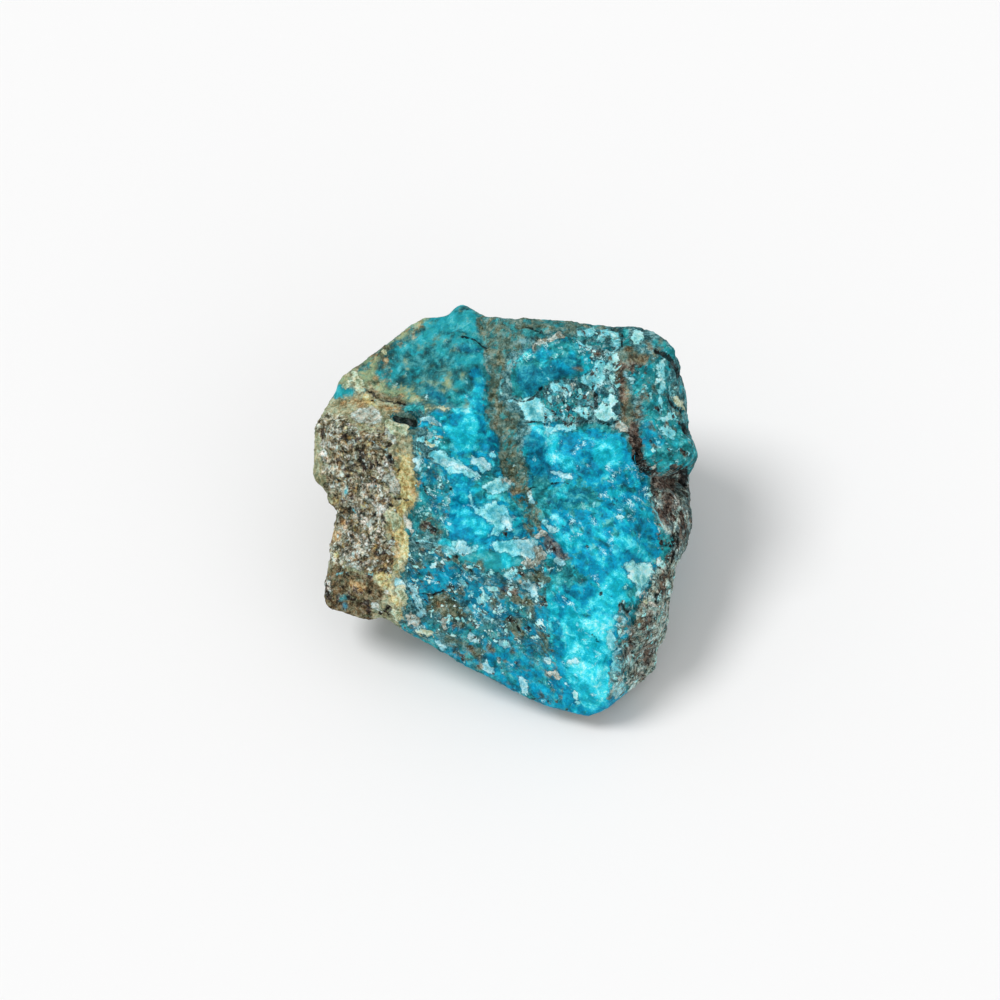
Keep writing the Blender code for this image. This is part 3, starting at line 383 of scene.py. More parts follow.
      22.8+12.5j, 22.8+7.5j, 23.4+6.2j, 21.8+8j, 21+11j, 19.9+12j, 20+17j, 19.2+21.5j, 19.2+24.6j),
     (0.8, -5-26.2j, -3.4-25j), (0.6, -8.6-23j, -6-24.4j), (0.5, 7.4-23j, 7.5-25j),
     (0.7, 4.2-12.8j, 7.4-13.4j), (0.6, -13.4-10.6j), (0.6, 15.4+17.2j), (0.6, 11.4+28.2j, 12.4+27.8j),
     (1.2, -12-3.4j, -10.8-5j), (0.9, 6.6+28.6j, 3+29.2j)),
    ("earth_grains", "earth", "haze",
     (0.0, -11.8-16j, -9.4-15.4j, -6.6-17.4j, -5.4-19.4j, -7-20.2j, -9.6-19.8j, -12-17.8j, -11.8-16j),
     (0.6, 2.8-16.4j, 5.4-17.4j, 5-19j), (0.5, -3.4+28.2j, -2.4+27j), (0.5, -3.4-10.4j, -3-11.4j),
     (0.6, -0.2+24.6j, 0.4+21.6j), (0.5, 1.8+1.8j, 3+1.4j, 4.2+2.2j), (0.5, 0.8+6.8j, 0.6+4.6j),
     (1.0, -12.4-3.4j, -10.8-5j), (0.5, 6.2+26j, 6.4+27.2j)),
    ("teal_mottles", "teal", "haze",
     (0.5, 1.2-16.6j, 2-18.4j), (0.6, 3.4-18.4j, 4.4-19.4j), (0.7, 4.6+28j, 7+27.4j),
     (0.6, -4.4-21.6j, -6-22.6j), (0.8, -12.8+1.6j, -12.6-1.4j), (0.6, -13.4-2.4j, -13.8-4.6j),
     (0.7, 13.2+27.2j, 14.6+27.6j), (0.6, -6.6+15.8j, -8+17.4j)),
    ("turquoise_crust", "turquoise", "cloud",
     (0.0, -11+8.4j, -9.8+8.6j, -8.2+6.9j, -6.6+6.4j, -5+5.4j, -3.6+4.2j, -4.7+3.4j, -6+4.2j, -8.4+4.6j,
      -10+6j, -11.6+7j, -11+8.4j),
     (0.7, -3.6+6.4j, -3+5.4j), (0.6, -1.2+7.4j),
     (0.0, -2.7+2.6j, -1+3.2j, 0+3.9j, 0.8+3.8j, 2.3+2.6j, 1.2+2j, 0+1.2j, -2+1j, -2.7+2.6j),
     (0.0, -4.8+0.6j, -4.4-0.9j, -3.4-1.3j, -2.4-0.7j, -1-0.4j, 0.3-0.8j, 1.2-1.6j, 2-3j, 2.2-4.6j, 1.4-5.2j,
      0.9-4.6j, 0.2-5.2j, -0.6-6.2j, -1.6-5.8j, -1-4.6j, -1.8-3.4j, -2.9-2.9j, -4-2.3j, -4.8-1j, -4.8+0.6j),
     (0.0, -1.4-6.8j, 0-7j, 2-6.8j, 3-6.3j, 5.6-6.2j, 6.6-7j, 7-8.6j, 5.8-10.2j, 3.4-9.4j, 1.4-9j, -1-8.6j,
      -1.4-6.8j),
     (0.6, -7.6-7.2j, -6-7.6j, -4.6-8.2j), (0.5, 7.6-3.6j, 8.4-4.8j),
     (0.0, 0.6+17.2j, 2.6+16.2j, 4+14.6j, 4.2+13j, 6.5+12.8j, 8.6+13j, 8.8+14.2j, 7.2+15.4j, 6.8+17.2j,
      5.4+16.8j, 3+16.8j, 0.6+17.2j),
     (0.7, 9.2+18.8j, 10.2+19j, 11.3+18.6j), (0.55, 8.2+11.7j, 12+12.3j),
     (0.9, 14.5+20.2j, 15.8+20.6j, 16.6+22.4j), (0.7, 15.6+19j, 17.2+20.4j), (0.7, 13.4+15j, 14.4+14.4j),
     (0.5, 13+27.8j, 15.3+27.9j), (0.6, 17+27.2j), (0.7, 18+28j, 18.7+27.8j, 18.9+26.6j),
     (0.6, 26.6+22.8j, 27+20.4j, 26.8+18.6j), (0.6, 27+13.8j, 28.8+13.9j), (0.6, 27.2+12j, 28.6+10.6j),
     (0.0, 20.6-11.4j, 22-10.2j, 24.8-10.4j, 25.8-12j, 24.8-14.2j, 23.2-16.2j, 22.6-14.4j, 21.6-12.8j,
      20.6-11.4j),
     (0.8, 18.4-22.5j, 18.6-24.6j), (0.6, 19.6-19.6j),
     (0.9, 19.5-26j, 19.3-28j, 19.8-30j, 20-31.2j, 19.5-32j), (0.5, -9-8j, -7.6-8.4j),
     (0.6, 1.2-12.6j, 2.4-12j), (0.5, 0.6-23.8j), (0.5, -2.6-16.4j, -3.4-16.8j)),
    ("lilac_clouds", "lilac", "cloud",
     (0.5, -4.3+6.8j, -3.3+6.8j, -2.2+5.7j),
     (0.3, -9.6+6.5j, -8.9+6.1j, -7.8+6j, -7+5.6j, -5.6+5.3j, -4.7+4.7j, -3.8+4.1j),
     (0.35, 9.2+4.6j, 10.6+4.2j, 12+3.6j), (0.6, 0.9-3.2j, 1.4-4.4j), (1.1, 4-7.2j, 5-7.6j, 4.6-8.8j),
     (0.8, -6.5-7.8j, -5.5-8.1j), (0.7, 4.4-14.2j, 5.4-14.6j, 5.8-15.6j), (0.6, 9.5-9.7j, 10-10.3j),
     (0.5, -14.2+6.3j, -13.4+6.8j, -13.8+5.2j), (0.5, 8-4.2j, 8.5-4.9j), (0.5, 5+0.6j, 5.2+0j),
     (0.6, -4.9-22.6j, -4.3-23.2j), (0.7, -2.6-27.7j, -1.7-28.1j), (0.55, 0.2-23.8j, 1.2-24.1j),
     (0.6, 3.7-30.2j, 4.1-31.4j), (0.4, -10.3-23.6j, -9.2-24.6j),
     (0.5, -15-14.6j, -14.2-15.6j, -13.5-17j, -13-18.6j, -13.4-19.2j), (0.6, 8-26.7j),
     (0.4, 11.5-27j, 13-26.8j), (0.6, 20.5-20j), (0.35, 20.8+21.2j, 21.5+20.5j, 22+19.8j), (0.3, -12.2-4.2j),
     (0.7, -17-13.6j, -16.4-14.4j)),
    ("frost_crust", "frost", "crust",
     (0.8, -25-5.8j, -22.5-7.2j), (0.6, -24.5-1.5j, -22.5-3.8j), (0.8, -24.7-8.5j, -23.9-10.4j),
     (0.4, -20.4+5.3j, -19.5+4.5j, -18.8+3.4j), (0.9, -20.7-0.2j, -19.5-0.8j, -19.8-2j), (0.5, -26-9j),
     (0.4, -19.2+5.8j, -18.6+5j), (0.5, -28.8-14j, -28.6-15j), (0.5, -7.6-21j),
     (0.5, -22.6+2.4j, -20.6+2.6j), (0.5, 22.2-24.3j), (0.6, 24-17.6j, 25.4-17.6j),
     (0.4, 29+1j, 29.3-0.5j, 29-1.6j), (0.5, -29.4+9j, -29.2+6j)),
    ("orange_tints", "orange", "haze",
     (0.5, -14.7+1.6j, -14.4+0.6j), (0.5, -18.5-5j), (0.5, -17.3-7.6j, -17.4-9.6j),
     (0.4, -26.1-3j, -26-3.9j), (0.8, -27.2-6.2j), (0.5, -26.4+16.4j), (0.5, -24.5+16.6j, -22.8+15.8j),
     (0.4, -19.5+15.9j, -17+14.9j), (0.4, -16.4+8j), (0.3, -27+7.5j, -27+5.5j), (0.5, 22.9-20.4j),
     (0.3, 21.2+18.5j, 21.2+17.5j), (0.7, -24.5-14j, -23-14.6j), (0.25, -13.4+2.9j), (0.5, -10.2-17.2j),
     (0.4, 3.4-13.5j)),
    ("brown_patches", "brown", "haze",
     (0.5, 19.7+22.6j, 19.8+20.4j, 20.3+18.4j, 20.6+16.4j, 20.5+14.2j, 21.6+12.6j),
     (0.7, 22+23.7j, 23+23.4j, 24.2+23.6j), (0.4, 21+25.2j, 22.4+24.9j), (0.5, -21.6+18j, -16+16.2j),
     (0.4, 23.9+17.2j, 23.1+16.4j, 23+15.4j, 23.6+14.8j), (0.4, 22+14.3j, 23.6+13.8j),
     (0.4, 24.6+26.3j, 25+25.5j), (0.35, 26.8+26.6j, 26.5+25.2j), (0.4, 5.6+26j, 6+25.5j),
     (0.3, 7.5+26.8j, 8.3+26.8j), (0.3, 12.5+22j, 13.4+22j), (0.7, -12.6-4.6j), (0.5, -13.2-8.3j),
     (0.4, 3.2+1.2j, 2+1.4j), (0.3, 1.3-15j, 3-15.1j), (0.5, -10-17.4j), (0.5, -1.8-24.6j, -1.6-25.2j),
     (0.3, -3.4-26j, -3.5-28j), (0.4, -5.3-24.8j, -4.5-25.4j), (0.4, 16.6+24.3j), (0.3, 18.5+23.4j),
     (0.4, 13+13.7j), (0.35, 27.8+13j), (0.45, 23.8-19.8j, 23.3-20.4j), (0.4, 21.8-22.5j, 21.4-23.6j),
     (0.4, 25.2-15.4j, 26.6-15.4j), (0.5, 22.6-28.8j), (0.7, 27-14.4j, 27.2-12.6j)),
    ("rust_patches", "rust", "haze",
     (0.2, 6.9-5.2j, 8.2-5.8j, 9.6-7.4j, 11.3-9.6j, 9.4-9.3j, 7.6-8.2j, 6.9-5.2j),
     (1.1, 26.2+3.2j, 28.4+2.6j), (0.9, 28+0.6j, 28.2-1.4j), (0.6, 26.8-2j, 27.8-4j),
     (0.8, 24.8-19.6j, 24.4-22j), (1.1, 25-24.6j, 24.4-26.8j), (0.8, 23.6-29.2j, 24.4-30.2j),
     (0.6, 27-13j, 27.4-15j), (0.5, 22.4-21.4j, 21.6-23.6j, 21.2-26j), (0.6, 19.9+22.4j, 21.6+22.6j),
     (0.6, 20.2+20j, 20.4+17j), (0.8, 22.2+12.6j, 22.4+9j), (0.4, 0.5-15j, 3-15.2j),
     (0.4, 30.4-2.4j, 30.6-4.6j), (0.4, 17.4+24j, 16.4+24.4j)),
    # Partly dark umber and partly painted shade: near-black patches in hollows, grooves and pits where shade
    # falls
    ("umber_hollows", "umber", "patch",
     (0.3, 8.3-7.1j, 9.3-8.3j), (0.25, 20+22.4j, 22+22j), (0.5, -12.4-3.6j, -11-5.2j),
     (0.8, 22.2+11.6j, 22.4+8.4j), (0.9, 22.6+7.6j, 23.4+6.2j, 24.2+5.4j), (0.6, 24.2+5.4j, 25.2+4.6j),
     (0.5, 29+5.4j, 30.3+4.8j), (0.4, -20.2-9j, -18.9-8.8j), (0.7, -22-18.5j), (0.5, -28.8-16.5j),
     (0.4, 1.7-19.8j), (0.4, 0.9-5.6j), (0.5, -23.4+8j, -22.6+5j), (0.5, 29.8+4.6j, 30.8+3j), (0.4, -25+5j),
     (0.4, -29.6+11.6j)),
    ("beige_crust", "beige", "crust",
     (0.4, 11.8+19j, 12.8+19.3j), (0.4, 5.6+25.8j, 7+26.4j, 8.4+26.8j, 10+27.4j),
     (0.7, 6.4-8j, 6.8-9j, 6-10.2j), (0.6, 5-11j, 4.6-10.4j), (0.4, 6.3-5.9j, 7.3-5.4j),
     (0.3, 0.6+3.3j, 1.6+2.8j), (0.6, 19.6+12.4j, 21+11.8j), (0.4, 8.3-28.8j, 9.2-29j, 9.8-29.6j),
     (0.5, -20.9-17.8j, -20.3-18.2j), (0.5, -18.9-15.2j), (0.35, -9.4-20j, -9.2-21.2j), (0.5, 25.3+5.6j),
     (0.35, -25.5-10.7j, -23-11.5j),
     (0.0, -25+14j, -24+15.4j, -20.4+15.4j, -19.8+12.8j, -21.8+12.4j, -23.6+13.2j, -25+14j),
     (0.7, -18.4+11.6j, -17.6+9.8j), (0.7, -18.4+3.6j, -17.4+2j), (0.4, -26.8+11.8j), (0.4, -28.6+9.4j),
     (0.5, -15.8-2.6j, -15.2-4j, -15-5j), (0.35, 23.2-21j), (0.7, -15-19.8j, -14-20.4j)),
    ("mint_crust", "mint", "crust",
     (0.6, -24.6+20.8j, -23.8+19.4j, -23.4+18.2j), (0.5, -19.2+24.4j), (0.8, -18.3+12.6j, -16+11.8j),
     (0.8, -18.5-2.6j, -17-3.2j, -17.4-4j), (0.4, -17-11j, -16.5-10.3j), (0.8, -17.2-19j),
     (0.4, -14-21.7j, -12.8-22.2j, -11.5-22.6j), (0.2, -12+15.4j, -8.5+15.3j), (0.5, 24.2-17j),
     (0.4, 29.3+17.2j, 30+16j, 30.7+15j), (0.7, -16.6-15j, -16-16.8j), (0.5, -25.5+19.3j)),
    ("white_crust", "white", "crust",
     (0.0, 20.8-11.2j, 22-10.4j, 24.8-10.6j, 25.4-12j, 24.4-14j, 22.8-14.4j, 21.4-12.8j, 20.8-11.2j),
     (0.0, 15.3+14.2j, 16.6+15.6j, 17.2+16.3j, 18.2+15.6j, 19.5+14j, 18.5+13.3j, 16+13.4j, 15.3+14.2j),
     (0.9, 22.9+27.1j), (0.5, 22.9+26j), (0.35, 18.2+18.4j, 18.7+17j, 18.8+15.3j), (0.4, 18+22j, 19+21.7j),
     (0.35, 18.7+20.5j), (0.4, 19.5+24j, 19.5+23.5j), (0.4, 26.7+20.3j, 26.3+19.7j), (0.3, 25.5+8.2j),
     (0.35, 24.4+1j), (0.3, 18.6+27.6j), (0.3, 20.8-14.7j), (0.35, -1.4-15j, -0.8-14.8j), (0.3, 0.9-23.9j),
     (0.15, -0.8-23.7j, 0.3-23.6j), (0.25, 11-30.8j), (0.2, 12-32.4j, 13-33.5j), (0.3, 24.9+1.2j, 25.1+0.6j),
     (0.3, 26.6-16.9j)),
    ("pale_threads", "turquoise", "thread",
     (0.05, 24.5+4j, 24.9+3j, 25.1+1.5j, 25.6-0.8j, 26.5-2.8j, 27.3-5j, 27.7-5.9j),
     (0.02, 16.8-1.4j, 17.6-0.2j, 19+0.4j, 21+0.6j, 22.6+0.2j, 23.6-0.6j, 24.4-1.6j),
     (0.02, 14+2.8j, 15.2+2.2j, 16+0.8j, 15.6-1j), (0.02, 20.2+2.6j, 21.6+3j, 22.6+3.8j, 22.2+4.6j),
     (0.03, 18.4+5.6j, 19.6+6.2j, 21+6.4j, 22.6+5.4j, 23.8+4.4j), (0.02, 17.4-1.4j, 18-2.6j, 19.2-3.4j),
     (0.03, 7.6-14j, 9.4-16.2j, 12-19.4j, 14-22j, 15.6-23.8j), (0.02, 11.2-16j, 12.6-18.4j, 14.8-21.6j),
     (0.02, 8.2-16.4j, 9-19j, 10.6-22j, 11-25j), (0.03, 8.6-23.6j, 10-25j, 12-26.4j, 15-27j),
     (0.02, 13-26.6j, 15.4-29j, 17.6-31.6j), (0.02, 14-24.4j, 17-25.6j, 19-27j),
     (0.02, 10.4-30j, 12-32.4j, 13.4-34j), (0.02, 15.6-20.4j, 18-21j, 19.4-19.8j),
     (0.06, -15-6.5j, -12-7j, -9.6-8j, -7.4-10.4j, -5-12.4j, -1-15.4j, 1-18.6j),
     (0.03, -13-7.4j, -9.6-9.6j, -6.6-13j, -3.6-16.2j, -1.6-18.6j, 0.4-20.4j),
     (0.03, -8.6-11.4j, -6-14j, -3.4-17.4j), (0.04, -5-11.4j, -2-12.6j, 1-13j, 4-14.4j, 6-16j),
     (0.03, -3-12.4j, -1-14j, 0.6-16j, 2.6-18.2j), (0.03, -5.8-16j, -4-18.4j, -1.6-20j),
     (0.03, 5.4-20.4j, 6.4-22j, 7.4-23.6j), (0.03, 6-26.6j, 8-26j, 10-26.6j, 12-27j),
     (0.02, -10.4+8j, -8.4+6.6j, -5+5.6j, -3.8+4.2j), (0.02, -4.9+2j, -4.7+0j, -3.9-1.8j),
     (0.02, 7.6+11j, 8+9j, 7.2+7j, 9+6j, 10.8+4.8j), (0.03, 10-2j, 11.6-4.4j, 13.4-7j),
     (0.03, 8.6-3j, 10.8-6j, 12-8.6j), (0.02, 9.4-1.6j, 12.6-3j, 14-5j), (0.02, -5.6+20.5j, -5.2+19j),
     (0.03, 0.4+20j, -0.1+19j, 0.8+17j), (0.02, 6+23.6j, 7+21j, 8.4+19.8j),
     (0.02, 12.5+9.2j, 13+8.5j, 12.5+7.5j, 11.8+7.2j), (0.05, 25-21.5j, 25.4-22.7j),
     (0.03, -25.7-0.6j, -24.6-1.6j, -23-3.4j, -21.4-5j), (0.02, -24.2+2.8j, -22.4+3j, -20.6+2.2j),
     (0.03, -13.6+4.6j, -12+6j, -9.6+7j), (0.02, -29-13j, -24-11.4j, -21-12.4j)),
    ("dark_cracks", "black", "line",
     (0.5, -17.4+13.6j, -16.5+13.2j, -14.3+12.6j), (0.2, -15.6+14.8j, -14.7+14.4j),
     (0.15, -21.8+18j, -20+17j, -18.5+16.6j, -15.8+15.9j), (0.12, -21.3+16.8j, -20.5+16.2j, -19.8+15.9j),
     (0.5, -18.9+9j, -18.4+9.4j), (0.5, -18.4+6.8j, -18.1+6.3j), (0.35, -18.1-0.8j),
     (0.14, -18.3+1.2j, -17+0.35j, -15.5+0.2j, -14.9-0.1j), (0.17, 14.8+13j, 16.5+12.6j, 18+12.6j, 19.5+13j),
     (0.1, 4.6+12.9j, 8.5+12.5j, 12+12.9j, 14.8+13j), (0.35, 16.1+17.5j, 15.9+16.6j, 16+15.6j),
     (0.7, 22.6+7j, 23.4+5.8j, 24.2+5j, 25.2+4.3j), (0.7, 30.3+4.9j, 30.9+4.2j, 30.9+3j),
     (0.3, 26+25j, 27.5+24.3j, 28.8+23.7j, 29.4+22j, 29.9+20.6j), (0.2, 20.2+28.3j, 20.2+25.6j),
     (0.22, 28.3+17.5j, 28.8+16.2j, 29.5+15.2j, 30.4+14.3j), (0.4, 30.7+12.5j, 31+11.4j), (0.35, 14.6-7.8j),
     (0.3, 16.7-15.6j), (0.1, 15.4-22.5j, 16.4-23.6j),
     (0.14, 20.2-17.3j, 21-18.2j, 21.6-18.9j, 22.1-19.9j, 22.2-20.8j),
     (0.18, 29.5-5j, 29.8-6j, 29.5-8j, 29-9.6j, 28.7-10.4j), (0.15, 26-15.8j, 26-17.5j), (0.3, 1-5.9j),
     (0.2, 1.1-4.8j), (0.25, -8.5+1.9j), (0.35, -7.2-9.3j), (0.2, -5.8-8.7j),
     (0.03, 4.4+1.4j, 5.5+2j, 7.5+2j, 8.5+2.8j, 10+2.7j, 11.5+2.5j, 12.5+2.2j), (0.15, -12.9+2.7j, -12.4+1j),
     (0.22, 4.5-21.1j, 5.1-21.5j), (0.4, 2.8-21j, 3.3-22j),
     (0.15, -13-15.8j, -11.5-15.8j, -10-15.3j, -9.3-15.1j), (0.3, 22.9-27.2j), (0.08, 2.5-6.4j, 5.2-6.2j),
     (0.2, -4.9-11.6j, -4.6-12.2j), (0.1, -15.3-5.2j, -15-6.4j, -13.6-7j),
     (0.12, -8.6+28.2j, -6.5+27.3j, -4+26.6j, -2.4+25.2j), (0.1, 3+29j, 5+28.7j, 7+28.2j),
     (0.12, 2.4+17j, 4+16.4j, 5.6+17j, 7+18.6j)),
)

# Parts of the face where small patches lie scattered, as shapes of the same kind
VALLEY = (1.3, -1.2+30j, -1.2+19j, -1+15.5j, 0.6+13j, 2+9j, 2.4+5j, 3.4+1j, 4.9-1j, 5.6-5j)
TOP_STRIP = (0.0, -3+31j, 12+30.4j, 20+29.4j, 20+27j, 10+27.6j, 4+25.6j, 1+24j, -2+26j, -3+31j)
GREY_CLOUD = (0.0, -13.4+13.4j, -10.4+14j, -9.6+11j, -10+8j, -13.8+6.6j, -13.4+13.4j)
POOL_TOP = (0.0, -14+28j, -11+30.6j, -6.6+33j, -4+30.4j, -4.6+27j, -9+25.6j, -14+26.4j, -14+28j)
POOL = (0.0, -20.8+20.6j, -19+25.2j, -12.6+29.4j, -6.6+33j, -3+30j, -2.8+20j, -3+15.6j, -10+15.8j, -16+19j,
        -20.8+20.6j)
SPECKLED = (0.0, 12.4+28j, 20+28.4j, 20+13j, 8+12.6j, 7+16j, 9+19.4j, 14+20.6j, 14.4+24j, 12.4+28j)
ISLAND_TOP = (0.0, 2+22.6j, 4+25j, 8+27j, 12+27.4j, 14.6+25j, 13+23.4j, 8+22.6j, 4+22.4j, 2+22.6j)
MOTTLED = (0.0, 5.4+3j, 16.6+3j, 17-2.4j, 12-3j, 8-1j, 6-1j, 5.4+3j)
LOBE = (0.0, 20.6+21.4j, 24+27j, 30+23j, 31+13j, 34+7j, 31+5j, 25+5j, 23.4+9j, 24+15j, 20.6+21.4j)
GREAT_BLUE = (0.0, 9+11j, 13+11.6j, 20.4+10.6j, 24.6+3j, 27-8j, 22-18j, 20-31j, 13-36j, 8-28j, 8-14j, 7.4-4j,
              9+11j)
CENTRE = (0.0, -13+13j, -8+16j, -3+20j, -1+10j, 0+4j, 5-5j, 7-8j, -8-8j, -10-5j, -9+4j, -13+13j)
STRIP = (0.0, -15-9j, -9-8j, -2-12j, 7-11j, 8-23j, -1-24j, -9-22j, -15-17j, -15-9j)
LOW_STRIP = (0.0, -16-20j, -8-22j, 8-23j, 11-35j, 4-33j, -4-29j, -16-21.5j, -16-20j)
LEFT_BLUE = (0.0, -14+7j, -10+5j, -8.4+2j, -8.8-6j, -14-6.4j, -14+7j)
ROCK = (0.0, -30+13j, -18+12j, -17+2j, -18.4-12j, -26-11j, -28+0j, -30+13j)
CRUSTED = (0.0, -26+1j, -18.4+0j, -19.4-5j, -21-11j, -27-9j, -26+1j)
SHADED = (0.0, -27+11j, -18.6+10.6j, -19+3j, -25+2j, -27+11j)
WALL = (0.0, 25+4.6j, 31+5j, 32-8j, 28-11j, 26-4j, 25+4.6j)
LOW_WALL = (0.0, 26.4-9.6j, 29-10j, 29-26j, 24-32j, 20-30j, 20.4-24j, 23-17j, 26.4-9.6j)
CORNER = (0.0, -30-11j, -19-12j, -18-20j, -30-20j, -30-11j)
FLANK = (0.0, 20.4-17j, 22.4-19j, 21-27j, 21-32j, 18-33j, 19-26j, 20.4-17j)
SLOPE = (0.0, -26+22j, -13+31j, -13+28j, -19+24j, -18+19j, -13+17j, -22+17j, -26+22j)

# The patches by their part: coat, share of the part that they cover, length, breadth and lean from U
SCATTERED = (
    (VALLEY, (("earth_grains", 0.3, 1.8, 1.2, 60.0), ("brown_patches", 0.02, 0.8, 0.6, 0.0),
              ("teal_mottles", 0.12, 1.6, 0.9, 60.0))),
    (TOP_STRIP, (("earth_grains", 0.25, 1.8, 1.0, 20.0), ("teal_mottles", 0.25, 1.6, 0.9, 20.0))),
    (ISLAND_TOP, (("teal_ground", 0.4, 1.0, 0.8, 0.0), ("cyan_lights", 0.06, 0.9, 0.6, 0.0),
                  ("deep_blue", 0.2, 1.4, 1.0, 0.0))),
    (MOTTLED, (("deep_teal", 0.25, 1.2, 0.8, 0.0), ("teal_mottles", 0.12, 1.0, 0.7, 0.0))),
    (POOL, (("deep_teal", 0.42, 4.2, 2.6, -20.0),)),
    (POOL_TOP, (("shallow_lights", 0.55, 2.6, 1.7, -20.0),)),
    (POOL, (("shallow_lights", 0.06, 2.6, 1.7, -20.0),)),
    (GREY_CLOUD, (("turquoise_crust", 0.12, 2.8, 1.7, -30.0), ("mint_crust", 0.05, 2.0, 1.2, -30.0),
                  ("lilac_clouds", 0.12, 2.4, 1.4, -30.0))),
    (POOL, (("sage_ground", 0.1, 1.8, 1.2, 0.0),)),
    (SPECKLED, (("teal_ground", 0.3, 1.2, 0.9, 0.0), ("deep_blue", 0.15, 1.0, 0.8, 0.0),
                ("turquoise_crust", 0.12, 1.6, 1.0, -60.0), ("white_crust", 0.035, 1.2, 0.6, -60.0),
                ("umber_hollows", 0.08, 1.1, 0.5, -60.0))),
    (LOBE, (("deep_teal", 0.25, 1.4, 0.9, -60.0), ("cyan_lights", 0.12, 1.0, 0.7, -60.0),
            ("turquoise_crust", 0.05, 0.9, 0.6, 0.0), ("earth_grains", 0.07, 1.8, 0.9, -60.0),
            ("umber_hollows", 0.015, 1.4, 0.5, -60.0))),
    (GREAT_BLUE, (("deep_blue", 0.08, 2.0, 1.4, -40.0), ("cyan_lights", 0.12, 2.6, 1.2, -40.0),
                  ("teal_ground", 0.1, 1.6, 1.0, -30.0))),
    (CENTRE, (("teal_ground", 0.16, 1.3, 0.9, 0.0), ("cyan_lights", 0.18, 1.6, 1.1, 0.0),
              ("deep_blue", 0.1, 1.3, 0.8, -30.0))),
    (STRIP, (("azure_pools", 0.36, 3.0, 1.5, -42.0), ("deep_teal", 0.5, 1.8, 1.0, -42.0),
             ("deep_blue", 0.25, 2.2, 1.1, -42.0), ("earth_grains", 0.18, 2.6, 1.5, -42.0),
             ("white_crust", 0.01, 0.9, 0.35, -42.0), ("umber_hollows", 0.05, 1.2, 0.5, -42.0))),
    (LOW_STRIP, (("azure_pools", 0.25, 1.6, 1.0, -35.0), ("teal_mottles", 0.25, 1.8, 1.2, -30.0),
                 ("deep_teal", 0.2, 1.2, 0.8, -30.0), ("earth_grains", 0.09, 1.5, 0.9, -30.0),
                 ("lilac_clouds", 0.01, 1.2, 0.7, -40.0), ("umber_hollows", 0.006, 0.9, 0.5, -40.0),
                 ("azure_pools", 0.3, 2.0, 1.2, -35.0))),
    (LEFT_BLUE, (("teal_mottles", 0.45, 1.0, 0.7, -50.0), ("deep_teal", 0.2, 0.9, 0.7, -50.0),
                 ("earth_grains", 0.1, 0.8, 0.5, 0.0), ("white_crust", 0.006, 0.6, 0.4, -50.0))),
    (ROCK, (("beige_crust", 0.08, 1.4, 0.9, 0.0), ("ochre_rim", 0.1, 1.4, 0.8, 60.0),
            ("frost_crust", 0.07, 1.4, 0.7, -30.0))),
    (CRUSTED, (("frost_crust", 0.14, 1.8, 0.9, -30.0),)),
    # Painted shade: dark patches over a part that lies in shade
    (SHADED, (("umber_hollows", 0.09, 1.5, 0.8, 70.0),)),
    (ROCK, (("umber_hollows", 0.04, 1.0, 0.5, 70.0), ("orange_tints", 0.06, 0.8, 0.5, 60.0),
            ("brown_patches", 0.1, 1.0, 0.6, 60.0))),
    (WALL, (("rust_patches", 0.12, 2.4, 0.6, -75.0), ("low_wall", 0.38, 1.6, 0.5, -75.0),
            ("umber_hollows", 0.1, 1.0, 0.3, -75.0))),
    (LOW_WALL, (("rust_patches", 0.12, 2.6, 0.8, 75.0), ("brown_patches", 0.12, 2.4, 0.8, 75.0),
                ("teal_mottles", 0.16, 2.0, 0.8, 75.0), ("beige_crust", 0.22, 1.8, 0.7, 75.0),
                ("white_crust", 0.01, 1.0, 0.45, 75.0), ("umber_hollows", 0.07, 2.0, 0.4, 75.0))),
    (CORNER, (("earth_grains", 0.25, 1.7, 0.5, -15.0), ("umber_hollows", 0.06, 1.0, 0.3, -15.0))),
    (FLANK, (("lilac_clouds", 0.2, 1.2, 0.5, 75.0), ("brown_patches", 0.14, 1.0, 0.5, 75.0),
             ("teal_mottles", 0.25, 1.0, 0.5, 75.0), ("white_crust", 0.02, 1.2, 0.5, 75.0))),
    (SLOPE, (("earth_grains", 0.22, 1.8, 0.8, 40.0), ("orange_tints", 0.06, 1.2, 0.6, 40.0),
             ("teal_mottles", 0.12, 1.6, 0.8, 40.0))),
)

# White flecks, partly mineral and partly painted glints: how thickly they lie, over shapes of the same kind
FLECKED = (
    (0.48, (0.0, -14-12j, -8-9.4j, -4-12.4j, 3-13j, 7-15j, 2-20j, -4-19j, -9-15.4j, -14-12j)),
    (0.7, (0.0, 15+24.5j, 19.8+25j, 19.6+14j, 16.5+17.5j, 15.5+22j, 15+24.5j)),
    (0.65, (0.0, 8.6-2j, 12-1.8j, 14-4j, 14-7j, 11.6-7.6j, 9.6-5j, 8.6-2j)),
    (0.75, (0.0, 18+7j, 22.6+6.6j, 24.6+3.6j, 25-1j, 20-3.6j, 17+1j, 18+7j)),
    (0.5, (0.0, 7.4+8j, 12.6+9.8j, 13.6+7j, 11+4j, 8.6+5j, 7.4+8j)),
    (0.32, GREAT_BLUE), (0.25, STRIP), (0.26, LOW_STRIP), (0.55, LEFT_BLUE), (0.15, CENTRE), (0.2, SPECKLED),
    (0.6, ISLAND_TOP), (0.1, LOBE), (0.15, ROCK), (0.1, FLANK), (0.05, LOW_WALL),
)

